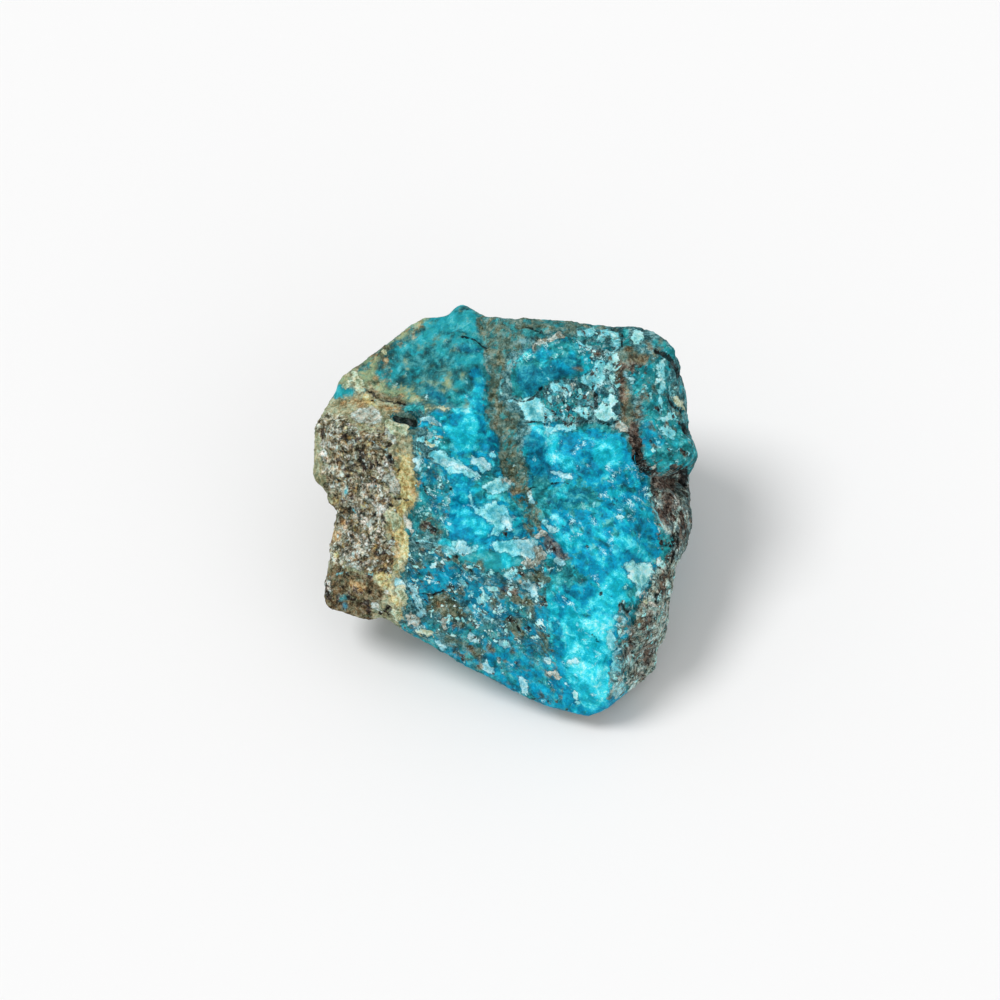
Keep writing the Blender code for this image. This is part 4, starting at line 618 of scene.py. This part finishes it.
# The hidden sides' coats over their ground: the coat, how much the way along W counts, a start, and then, for
# the slow noise and the middle one, the part of it that is read and its strength
HIDDEN_NOISES = ((12.0, 31), (5.0, 32))  # the slow and the middle one's size and seed
HIDDEN_GROUND = "wall_ground"
HIDDEN_COATS = (
    ("teal_ground", 1.0, -5.5, 0, 3.0, 0, 1.5),
    ("azure_pools", 1.0, -12.0, 1, 5.0, 1, 3.0),
    ("slate_ground", 1.0, -8.5, 2, 5.0, 2, 3.0),
    ("brown_patches", 0.0, -1.0, 2, 6.0, 1, 1.5),
    ("matrix", 0.0, -1.6, 0, 7.0, 2, 1.0),
    ("ochre_rim", 0.0, -2.2, 1, 3.0, 0, 2.5),
    ("olive_fill", 0.0, -1.9, 2, 4.0, 0, 2.0),
)

# Veins through the hidden rock: lean from W, direction, distance from the heart, half width, coat
HIDDEN_VEINS = (
    (20.0, 40.0, -4.0, 1.6, "teal_ground"),
    (20.0, 40.0, -4.0, 0.8, "cyan_lights"),
    (20.0, 40.0, -3.2, 0.3, "white_crust"),
    (35.0, 200.0, -13.0, 1.2, "teal_ground"),
    (35.0, 200.0, -13.4, 0.4, "white_crust"),
    (70.0, 110.0, 9.0, 0.8, "turquoise_crust"),
    (55.0, 320.0, -16.0, 0.9, "frost_crust"),
    (10.0, 90.0, 2.0, 0.5, "white_crust"),
    (15.0, 10.0, -9.0, 0.25, "dark_cracks"),
    (60.0, 60.0, 2.0, 0.2, "dark_cracks"),
)
VEIN_BENDS = (1.6, 0.8)  # how far the two noises bend the veins
VEIN_WIDTHS = (0.6, 1.2)  # a vein's share of its width at the noise's middle, and what the noise adds to it

# The material's noises: size of the lumps in millimetres, detail, roughness and distortion
NOISES = {
    "silk": (1.8, 4.5, 0.64, 0.7),
    "crumb": (0.9, 3.5, 0.78, 0.3),
    "layers": (0.9, 3.5, 0.72, 0.2),
    "wrinkles": (1.0, 4.0, 0.62, 0.5),
    "grit": (0.24, 2.0, 0.7, 0.0),
    "ragged edges": (1.5, 4.5, 0.66, 0.4),
    "tints": (0.6, 4.0, 0.6, 0.0),
    "strands": (0.9, 4.0, 0.55, 0.9),
    "net": (0.9, 2.0, 0.5, 1.5),
    "knots": (2.0, 2.5, 0.6, 0.0),
    "bumps": (0.32, 2.5, 0.72, 0.0),
}
NOISE_MIDDLE = 0.5

# Each grain: the stretch of its noise from the darkest tone to the lightest, and how much the chip tones, the
# grit and the painted shade and highlight lines count
GRAINS = {
    "silk": (0.28, 0.72, 0.8),
    "crumb": (0.30, 0.70, 1.0),
    "layers": (0.28, 0.72, 0.7),
}
BEDDING = (0.3, 0.3, 1.4)  # how close the layers lie along U, V and W
# Painted shade and painted highlight: a dark line in the colour stands in for the shade in creases, and a
# light one for the light on ridges
PAINTED_CREASE_SHADE = (0.5, 0.020, -0.30)  # a dark line where the wrinkles pass a level: level, width and change of tone
PAINTED_RIDGE_HIGHLIGHT = (0.56, 0.016, 0.30)  # and a light one
GRIT_TONES = (1.2, -0.60)  # the grit's strength and start

# A crust, by depth inside it in millimetres: from, to, and what is there at each. Just outside it lies a
# painted shadow, a dark ring; its middle covers less, and its tone falls from the rim's to the middle's
CRUST_PAINTED_SHADOW = (-0.5, -0.05, 0.0, 0.35)
CRUST_COVER = (0.3, 1.4, 1.0, 0.7)
CRUST_TONE_DEPTHS = (0.1, 0.8)
CRUST_MIDDLE_TONE = -0.08
PAINTED_SHADOW_COLOUR = (0.008, 0.03, 0.035, 1.0)

# The minerals' tint wavers between cool and warm
COOL = (0.86, 1.0, 1.06, 1.0)
WARM = (1.13, 1.0, 0.93, 1.0)
TINT_STRETCH = (0.38, 0.62)

# Threads where two noises pass a level: the level, what knots and flecks add to the width, the width itself
# and the cover
DARK_THREADS = (0.445, -0.22, 0.042, 0.074, 0.75)
PALE_THREADS_AND_GLINTS = (0.5, 0.22, 0.050, -0.140, 0.9)
THREAD_EDGE = 0.018
THREAD_LEAN = -42.0  # the strands run down to the right
THREAD_STRETCH = (0.5, 1.5, 1.0)
DARK_THREAD = (0.005, 0.04, 0.055, 1.0)
# The pale threads' colours: partly white and cyan mineral, partly painted glints
CYAN_THREAD_AND_GLINT = (0.10, 0.66, 0.76, 1.0)
WHITE_THREAD_AND_GLINT = (0.55, 0.92, 0.94, 1.0)
WHITE_KNOTS = (0.45, 0.62)  # threads turn from cyan to white over this stretch of the knots

BUMP_STRENGTHS = (0.35, 0.9, 0.27, 0.9)  # from the smoothest to the roughest mineral
BUMP_HEIGHT = 0.00040  # in metres
SPECULAR = 0.07


def smooth(low, high, value):
    """0 below low, 1 above high, with a smooth rise between."""
    share = np.clip((value - low) / (high - low), 0.0, 1.0)
    return share * share * (3.0 - 2.0 * share)


def fine_ball():
    """Points and triangles of an even ball: each face of an icosahedron cut into small triangles."""
    seed = bmesh.new()
    bmesh.ops.create_icosphere(seed, subdivisions=1, radius=1.0)
    faces = [[np.array(vertex.co) for vertex in face.verts] for face in seed.faces]
    seed.free()
    steps = BALL_DIVISIONS
    places = [(i, j) for i in range(steps + 1) for j in range(steps + 1 - i)]
    number = {place: index for index, place in enumerate(places)}
    triangles = []
    for i, j in places:
        if i + j < steps:
            triangles.append((number[i, j], number[i + 1, j], number[i, j + 1]))
        if i + j < steps - 1:
            triangles.append((number[i + 1, j], number[i + 1, j + 1], number[i, j + 1]))
    shares = np.array(places) / steps
    points = np.vstack([a + shares[:, :1] * (b - a) + shares[:, 1:] * (c - a) for a, b, c in faces])
    corners = np.vstack([np.array(triangles) + len(places) * face for face in range(len(faces))])
    rounded = np.round(points, CORNER_DIGITS)
    _, first, merged = np.unique(rounded, axis=0, return_index=True, return_inverse=True)
    ball = points[first]
    return ball / np.linalg.norm(ball, axis=1, keepdims=True), merged.reshape(-1)[corners]


def edges_of(triangles):
    """Each edge of the triangles once."""
    pairs = np.vstack((triangles[:, :2], triangles[:, 1:], triangles[:, ::2]))
    return np.unique(np.sort(pairs, axis=1), axis=0)


def neighbour_mean(points, edges):
    """The mean of each point's neighbours."""
    total = np.zeros_like(points)
    count = np.zeros(len(points))
    for here, there in ((0, 1), (1, 0)):
        np.add.at(total, edges[:, here], points[edges[:, there]])
        np.add.at(count, edges[:, here], 1.0)
    return total / count[:, None]


def surface_normals(points, triangles):
    """Unit normals at the points."""
    a, b, c = (points[triangles[:, corner]] for corner in range(3))
    across = np.cross(b - a, c - a)
    normals = np.zeros_like(points)
    for corner in range(3):
        np.add.at(normals, triangles[:, corner], across)
    return normals / np.linalg.norm(normals, axis=1, keepdims=True)


def noise_places(points, size, seed, steps=SEED_STEPS):
    """Where the points read a noise whose lumps are about `size` millimetres."""
    start = Vector([seed * step for step in steps])
    return [Vector(point) / size + start for point in points]


def wander(points, size, seed):
    """Smooth noise vectors, about -1 to 1."""
    return np.array([noise.noise_vector(place) for place in noise_places(points, size, seed, WANDER_STEPS)])


def ripple(points, size, seed):
    """Fractal noise, about -1 to 1."""
    return np.array([noise.fractal(place, *FRACTAL) for place in noise_places(points, size, seed)])


def cells(points, size, seed):
    """How much farther each point lies from the second nearest cell's middle than from the nearest."""
    found = np.array([noise.voronoi(place)[0][:2] for place in noise_places(points, size, seed)])
    return found[:, 1] - found[:, 0]


def facets(points, size, seed):
    """Flat chips of about `size` millimetres, each tipped its own way: their heights, about -0.5 to 0.5."""
    heights = []
    for place in noise_places(points, size, seed):
        middle = noise.voronoi(place)[1][0]
        tip = noise.cell_vector(middle * CELL_STEP) - Vector((0.5, 0.5, 0.5))
        heights.append((place - middle).dot(tip))
    return np.array(heights)


def chip_tones(points):
    """Lighter and darker chips: a tone for each cell, about -0.2 to 0.2."""
    tones = np.zeros(len(points))
    for size, (seed, _, change) in CHIPS.items():
        middles = [noise.voronoi(place)[1][0] for place in noise_places(points, size, seed)]
        tones += change * np.array([noise.cell(middle * CELL_STEP) for middle in middles])
    return tones


def path_field(places, radius, path):
    """How far inside a shape each place lies: a line with this radius or, if it closes, all it encloses."""
    if len(path) == 1:
        return radius - np.linalg.norm(places - path[0], axis=1)
    nearest = np.full(len(places), np.inf)
    inside = np.zeros(len(places), bool)
    closed = np.allclose(path[0], path[-1])
    for start, end in zip(path[:-1], path[1:]):
        edge = end - start
        away = places - start
        share = np.clip(away @ edge / (edge @ edge), 0.0, 1.0)
        nearest = np.minimum(nearest, np.linalg.norm(away - share[:, None] * edge, axis=1))
        if closed and start[1] != end[1]:
            crossing = (start[1] > places[:, 1]) != (end[1] > places[:, 1])
            inside ^= crossing & (places[:, 0] < start[0] + edge[0] * away[:, 1] / edge[1])
    return radius + np.where(inside, nearest, -nearest)


def shapes_field(places, shapes):
    """The field of several shapes together."""
    field = np.full(len(places), -REACH)
    for radius, *path in shapes:
        path = np.array([(place.real, place.imag) for place in path])
        low, high = path.min(axis=0) - radius - REACH, path.max(axis=0) + radius + REACH
        near = np.all((places > low) & (places < high), axis=1)
        field[near] = np.maximum(field[near], path_field(places[near], radius, path))
    return np.clip(field, -REACH, REACH)


def hidden_fields(points):
    """The coats of the sides that the show face turns away from: country rock with veins and patches."""
    slow, middle = (wander(points, size, seed) for size, seed in HIDDEN_NOISES)
    fields = {name: np.full(len(points), -REACH) for name, *_ in COATS}
    fields[HIDDEN_GROUND] = np.full(len(points), REACH)
    for coat, along, start, slow_part, slow_strength, middle_part, middle_strength in HIDDEN_COATS:
        fields[coat] = (along * points[:, 2] + start + slow_strength * slow[:, slow_part]
                        + middle_strength * middle[:, middle_part])
    bent = points + VEIN_BENDS[0] * slow + VEIN_BENDS[1] * middle
    swelling = VEIN_WIDTHS[0] + VEIN_WIDTHS[1] * middle[:, 1]
    for lean, toward, place, width, coat in HIDDEN_VEINS:
        lean, toward = math.radians(lean), math.radians(toward)
        across = (math.sin(lean) * math.cos(toward), math.sin(lean) * math.sin(toward), math.cos(lean))
        vein = width * swelling - np.abs(bent @ np.array(across) - place)
        fields[coat] = np.maximum(fields[coat], vein)
    return {name: np.clip(field, -REACH, REACH) for name, field in fields.items()}


def scattered(points, share, length, breadth, lean, seed):
    """A field of patches over this share of the points. They are long at `lean` degrees from U."""
    across, along = math.sin(math.radians(lean)), math.cos(math.radians(lean))
    axes = np.array(((along, across, 0.0), (-across, along, 0.0), (0.0, 0.0, 1.0)))
    lumps = ripple(points @ axes.T / np.array((length, breadth, breadth)), 1.0, seed)
    return PATCH_SLOPE * breadth * (lumps - np.quantile(lumps, 1.0 - share))


def paint(points, normals):
    """Every coat's field at the points, and how thickly the flecks lie there."""
    toward_camera = np.array((0.0, 0.0, CAMERA_DISTANCE)) - points
    toward_camera /= np.linalg.norm(toward_camera, axis=1, keepdims=True)
    shown = smooth(*FACE_END, np.sum(normals * toward_camera, axis=1))
    places = points[:, :2] * (CAMERA_DISTANCE / (CAMERA_DISTANCE - points[:, 2]))[:, None]
    for shift, size, seed in OUTLINE_WANDERS:
        places = places + shift * wander(points, size, seed)[:, :2]
    hidden = hidden_fields(points)
    fields = {name: shapes_field(places, shapes) for name, _, _, *shapes in COATS}
    patches = [(part, name, form) for part, group in SCATTERED for name, *form in group]
    for seed, (part, name, form) in enumerate(patches, PATCH_SEED):
        room = shapes_field(places, (part,))
        near = np.flatnonzero((room > -PART_REACH) & (shown > 0.0))
        field = np.minimum(room[near] + PART_MARGIN, scattered(points[near], *form, seed))
        fields[name][near] = np.maximum(fields[name][near], field)
    fields = {name: shown * field + (1.0 - shown) * hidden[name] for name, field in fields.items()}
    flecks = np.zeros(len(points))
    for thickness, shape in FLECKED:
        flecks = np.maximum(flecks, thickness * smooth(*FLECK_DEPTHS, shapes_field(places, (shape,))))
    return fields, flecks * shown


def relief(points, fields):
    """How far each point is lifted, in millimetres, by the grain of the mineral that covers it."""
    lift = np.zeros(len(points))
    knobs = np.full(len(points), MINERALS[UNDERCOAT][4])
    layered = np.zeros(len(points))
    for name, mineral, edge, *_ in COATS:
        softness, _, cover, _ = EDGES[edge]
        share = cover * smooth(-softness - LIFT_EASE, softness + LIFT_EASE, fields[name])
        _, grain, _, coat_lift, coat_knobs = MINERALS[mineral]
        lift += (coat_lift - lift) * share
        knobs += (coat_knobs - knobs) * share
        layered += ((grain == "layers") - layered) * share
    stony = RIPPLE_HEIGHT * ripple(points, *RIPPLES) + PEBBLE_HEIGHT * (cells(points, *PEBBLES) - PEBBLE_MEAN)
    chips = sum(height * facets(points, size, seed) for size, (seed, height, _) in CHIPS.items())
    bedded = LAYER_HEIGHT * ripple(points * np.array(LAYER_STRETCH), *LAYERS)
    return lift + knobs * (CHIP_HEIGHT * chips + stony * (1 - layered) + bedded * layered)


class Graph:
    """A material's nodes."""

    def __init__(self, material):
        material.use_nodes = True
        self.tree = material.node_tree
        self.tree.nodes.clear()

    def add(self, kind, inputs=None, **settings):
        """A new node; an input is a value or another node's output."""
        node = self.tree.nodes.new(kind)
        for name, value in settings.items():
            setattr(node, name, value)
        for name, value in (inputs or {}).items():
            if isinstance(value, bpy.types.NodeSocket):
                self.tree.links.new(value, node.inputs[name])
            else:
                node.inputs[name].default_value = value
        return node

    def attribute(self, name):
        """A field that is kept on the mesh."""
        return self.add("ShaderNodeAttribute", attribute_name=name).outputs["Fac"]

    def math(self, operation, *values):
        """Arithmetic on numbers."""
        return self.add("ShaderNodeMath", dict(enumerate(values)), operation=operation).outputs[0]

    def distance(self, value, level):
        """How far the value lies from a level."""
        return self.math("ABSOLUTE", self.math("SUBTRACT", value, level))

    def noise(self, points, name):
        """One of the noises, between 0 and 1."""
        size, detail, roughness, distortion = NOISES[name]
        inputs = {"Vector": points, "Scale": 1.0 / size, "Detail": detail, "Roughness": roughness,
                  "Distortion": distortion}
        return self.add("ShaderNodeTexNoise", inputs).outputs["Fac"]

    def spread(self, value, low, high, to_low=0.0, to_high=1.0):
        """The value's stretch from low to high, smoothly brought to another range."""
        inputs = {"Value": value, "From Min": low, "From Max": high, "To Min": to_low, "To Max": to_high}
        return self.add("ShaderNodeMapRange", inputs, interpolation_type="SMOOTHSTEP").outputs["Result"]

    def mix(self, share, under, over, blend="MIX"):
        """Two colours mixed. The node has such sockets for numbers too, so they are given by their places."""
        inputs = {"Factor": share, 6: under, 7: over}
        return self.add("ShaderNodeMix", inputs, data_type="RGBA", blend_type=blend).outputs[2]

    def mix_number(self, share, under, over):
        """Two numbers mixed."""
        return self.add("ShaderNodeMix", {"Factor": share, 2: under, 3: over}, data_type="FLOAT").outputs[0]

    def ramp(self, value, colours):
        """A ramp through evenly spaced colours."""
        node = self.add("ShaderNodeValToRGB", {"Fac": value})
        elements = node.color_ramp.elements
        while len(elements) < len(colours):
            elements.new(1.0)
        for index, (element, colour) in enumerate(zip(elements, colours)):
            element.position = index / (len(colours) - 1)
            element.color = (*colour, 1.0)
        return node.outputs["Color"]


def stretched(graph, points, lean, stretch):
    """The points along the face's axes, which are turned by `lean` degrees and stretched by a factor each."""
    turn = math.radians(lean)
    along = np.array(U) * math.cos(turn) + np.array(V) * math.sin(turn)
    across = np.array(V) * math.cos(turn) - np.array(U) * math.sin(turn)
    parts = []
    for factor, axis in zip(stretch, (along, across, np.array(W))):
        part = graph.add("ShaderNodeVectorMath", {0: points, 1: factor * axis}, operation="DOT_PRODUCT")
        parts.append(part.outputs["Value"])
    return graph.add("ShaderNodeCombineXYZ", dict(zip("XYZ", parts))).outputs[0]


def grain_tones(graph, points):
    """The tones of each grain, about 0 to 1: silky in the blue, crumbly in rock and layered in the wall."""
    wrinkles = graph.noise(points, "wrinkles")
    # painted shade along the seams and a painted highlight along the ridges, both in the colour
    painted_crease_shade, painted_ridge_highlight = (graph.spread(graph.distance(wrinkles, level), 0.0, width, change, 0.0)
                     for level, width, change in (PAINTED_CREASE_SHADE, PAINTED_RIDGE_HIGHLIGHT))
    tones_and_painted_light = graph.math("ADD", graph.math("ADD", painted_crease_shade, painted_ridge_highlight), graph.attribute("chips"))
    tones_and_painted_light = graph.math("ADD", tones_and_painted_light, graph.math("MULTIPLY_ADD", graph.noise(points, "grit"), *GRIT_TONES))
    bedding = stretched(graph, points, 0.0, BEDDING)
    tones = {}
    for name, (low, high, tone_and_painted_light_share) in GRAINS.items():
        lumps = graph.noise(bedding if name == "layers" else points, name)
        tones[name] = graph.math("MULTIPLY_ADD", tones_and_painted_light, tone_and_painted_light_share, graph.spread(lumps, low, high))
    return tones


def painted(graph, points):
    """The coats' colour and roughness, laid over each other in their order."""
    tones = grain_tones(graph, points)
    ragged = graph.math("SUBTRACT", graph.noise(points, "ragged edges"), NOISE_MIDDLE)
    colours, grain, roughness, _, _ = MINERALS[UNDERCOAT]
    colour = graph.ramp(tones[grain], colours)
    for name, mineral, edge, *_ in COATS:
        softness, raggedness, cover, rim = EDGES[edge]
        colours, grain, coat_roughness, _, _ = MINERALS[mineral]
        depth = graph.math("MULTIPLY_ADD", ragged, raggedness, graph.attribute(name))
        share = graph.spread(depth, -softness, softness, 0.0, cover)
        tone = tones[grain]
        if rim:
            # painted shadow: a dark ring of colour just outside the crust's edge
            colour = graph.mix(graph.spread(depth, *CRUST_PAINTED_SHADOW), colour, PAINTED_SHADOW_COLOUR)
            share = graph.math("MULTIPLY", share, graph.spread(depth, *CRUST_COVER))
            tone = graph.math("ADD", tone, graph.spread(depth, *CRUST_TONE_DEPTHS, rim, CRUST_MIDDLE_TONE))
        colour = graph.mix(share, colour, graph.ramp(tone, colours))
        roughness = graph.mix_number(share, roughness, coat_roughness)
    tint = graph.mix(graph.spread(graph.noise(points, "tints"), *TINT_STRETCH), COOL, WARM)
    return graph.mix(1.0, colour, tint, "MULTIPLY"), roughness


def threaded(graph, points, colour):
    """The colour with dark and pale threads over it, close together where the flecks lie thickly."""
    flecks = graph.attribute("flecks")
    fibre = stretched(graph, points, THREAD_LEAN, THREAD_STRETCH)
    nets = (graph.noise(fibre, "strands"), graph.noise(points, "net"))
    knots = graph.noise(points, "knots")
    # the pale threads are partly mineral and partly painted glints: bright specks of colour standing in for
    # sparkle
    pale = graph.mix(graph.spread(knots, *WHITE_KNOTS), CYAN_THREAD_AND_GLINT, WHITE_THREAD_AND_GLINT)
    for thread, form in ((DARK_THREAD, DARK_THREADS), (pale, PALE_THREADS_AND_GLINTS)):
        level, by_knots, by_flecks, width, cover = form
        near = graph.math("MINIMUM", *(graph.distance(net, level) for net in nets))
        width = graph.math("MULTIPLY_ADD", flecks, by_flecks, width)
        width = graph.math("MULTIPLY_ADD", knots, by_knots, width)
        share = graph.spread(graph.math("SUBTRACT", width, near), 0.0, THREAD_EDGE, 0.0, cover)
        colour = graph.mix(share, colour, thread)
    return colour


def stone_material():
    """The stone's minerals, laid over each other coat by coat."""
    material = bpy.data.materials.new("chrysocolla")
    graph = Graph(material)
    place = graph.add("ShaderNodeTexCoord").outputs["Object"]
    points = graph.add("ShaderNodeVectorMath", {0: place, "Scale": 1.0 / MM}, operation="SCALE").outputs[0]
    colour, roughness = painted(graph, points)
    bumps = {"Strength": graph.spread(roughness, *BUMP_STRENGTHS), "Distance": BUMP_HEIGHT,
             "Height": graph.noise(points, "bumps")}
    shader = graph.add("ShaderNodeBsdfPrincipled", {
        "Base Color": threaded(graph, points, colour), "Roughness": roughness,
        "Normal": graph.add("ShaderNodeBump", bumps).outputs[0], "Specular IOR Level": SPECULAR})
    graph.add("ShaderNodeOutputMaterial", {"Surface": shader.outputs[0]})
    return material


def plain_material(name, colour, roughness):
    """One even colour."""
    material = bpy.data.materials.new(name)
    graph = Graph(material)
    shader = graph.add("ShaderNodeBsdfPrincipled", {"Base Color": (*colour, 1.0), "Roughness": roughness})
    graph.add("ShaderNodeOutputMaterial", {"Surface": shader.outputs[0]})
    return material


def new_object(name, data):
    """An object in the scene."""
    thing = bpy.data.objects.new(name, data)
    bpy.context.scene.collection.objects.link(thing)
    return thing


def stone_surface(node):
    """The fine mesh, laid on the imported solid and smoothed: its points in metres and its triangles."""
    solid = BVHTree.FromPolygons([vertex.co for vertex in node.data.vertices],
                                 [polygon.vertices for polygon in node.data.polygons])
    ball, triangles = fine_ball()
    through = ball * np.array((1.0, 1.0, BALL_FLATNESS)) + np.array((0.0, 0.0, BALL_SHIFT))
    directions = through @ FACE_AXES
    directions /= np.linalg.norm(directions, axis=1, keepdims=True)
    heart = Vector(HEART)
    points = np.array([solid.ray_cast(heart, Vector(direction))[0] for direction in directions])
    edges = edges_of(triangles)
    ground = points[:, 2] < GROUND_LEVEL
    for _ in range(SMOOTHING_PASSES):
        points = points + SMOOTHING_STRENGTH * (neighbour_mean(points, edges) - points)
        points[ground, 2] = 0.0
    return points, triangles


def build_stone(node):
    """The stone's visible mesh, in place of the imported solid."""
    points, triangles = stone_surface(node)
    kept = smooth(0.0, FOOT_HEIGHT, points[:, 2] / MM)
    local = (points - np.array(HEART)) / MM @ FACE_AXES.T
    normals = surface_normals(local, triangles)
    fields, flecks = paint(local, normals)
    chips = chip_tones(local)
    local = local + normals * (relief(local, fields) * kept)[:, None]
    points = local @ FACE_AXES * MM + np.array(HEART)
    low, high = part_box("stone")
    points = np.clip(points, np.array(low), np.array(high))
    mesh = bpy.data.meshes.new("stone_surface")
    mesh.from_pydata(points.tolist(), [], triangles.tolist())
    mesh.update()
    mesh.shade_smooth()
    for name, field in (*fields.items(), ("flecks", flecks), ("chips", chips)):
        mesh.attributes.new(name, "FLOAT", "POINT").data.foreach_set("value", field.astype(np.float32))
    mesh.materials.append(stone_material())
    stone = new_object("stone_surface", mesh)
    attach(stone, "root")
    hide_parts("stone")


def aim(thing, away):
    """Turn a light or a camera so that it looks against this direction."""
    thing.rotation_mode = "QUATERNION"
    thing.rotation_quaternion = Vector(away).to_track_quat("Z", "Y")


def build_stage():
    """A pale floor, soft light from the upper left and the camera."""
    bpy.ops.mesh.primitive_plane_add(size=FLOOR_SIZE)
    floor = bpy.context.object
    floor.name = "floor"
    floor.data.materials.append(plain_material("floor", FLOOR_COLOUR, FLOOR_ROUGHNESS))
    world = bpy.data.worlds.new("studio")
    world.use_nodes = True
    sky = world.node_tree.nodes["Background"].inputs
    sky["Color"].default_value = (1.0, 1.0, 1.0, 1.0)
    sky["Strength"].default_value = SKY_STRENGTH
    bpy.context.scene.world = world
    for name, (direction, strength, angle) in LIGHTS.items():
        light = bpy.data.lights.new(name, "SUN")
        light.energy = strength
        light.angle = math.radians(angle)
        aim(new_object(name, light), np.array(direction) @ FACE_AXES)
    camera = new_object("camera", bpy.data.cameras.new("camera"))
    camera.location = Vector(HEART) + Vector(W) * CAMERA_DISTANCE * MM
    aim(camera, W)
    camera.data.sensor_width = SENSOR
    camera.data.lens = SENSOR * CAMERA_DISTANCE / FRAME_WIDTH
    camera.data.clip_start = NEAREST_SHOWN
    bpy.context.scene.camera = camera
    bpy.context.scene.view_settings.view_transform = "Standard"


def main():
    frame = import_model()
    noise.seed_set(SEED)
    build_stone(frame["nodes"]["stone"])
    build_stage()


main()
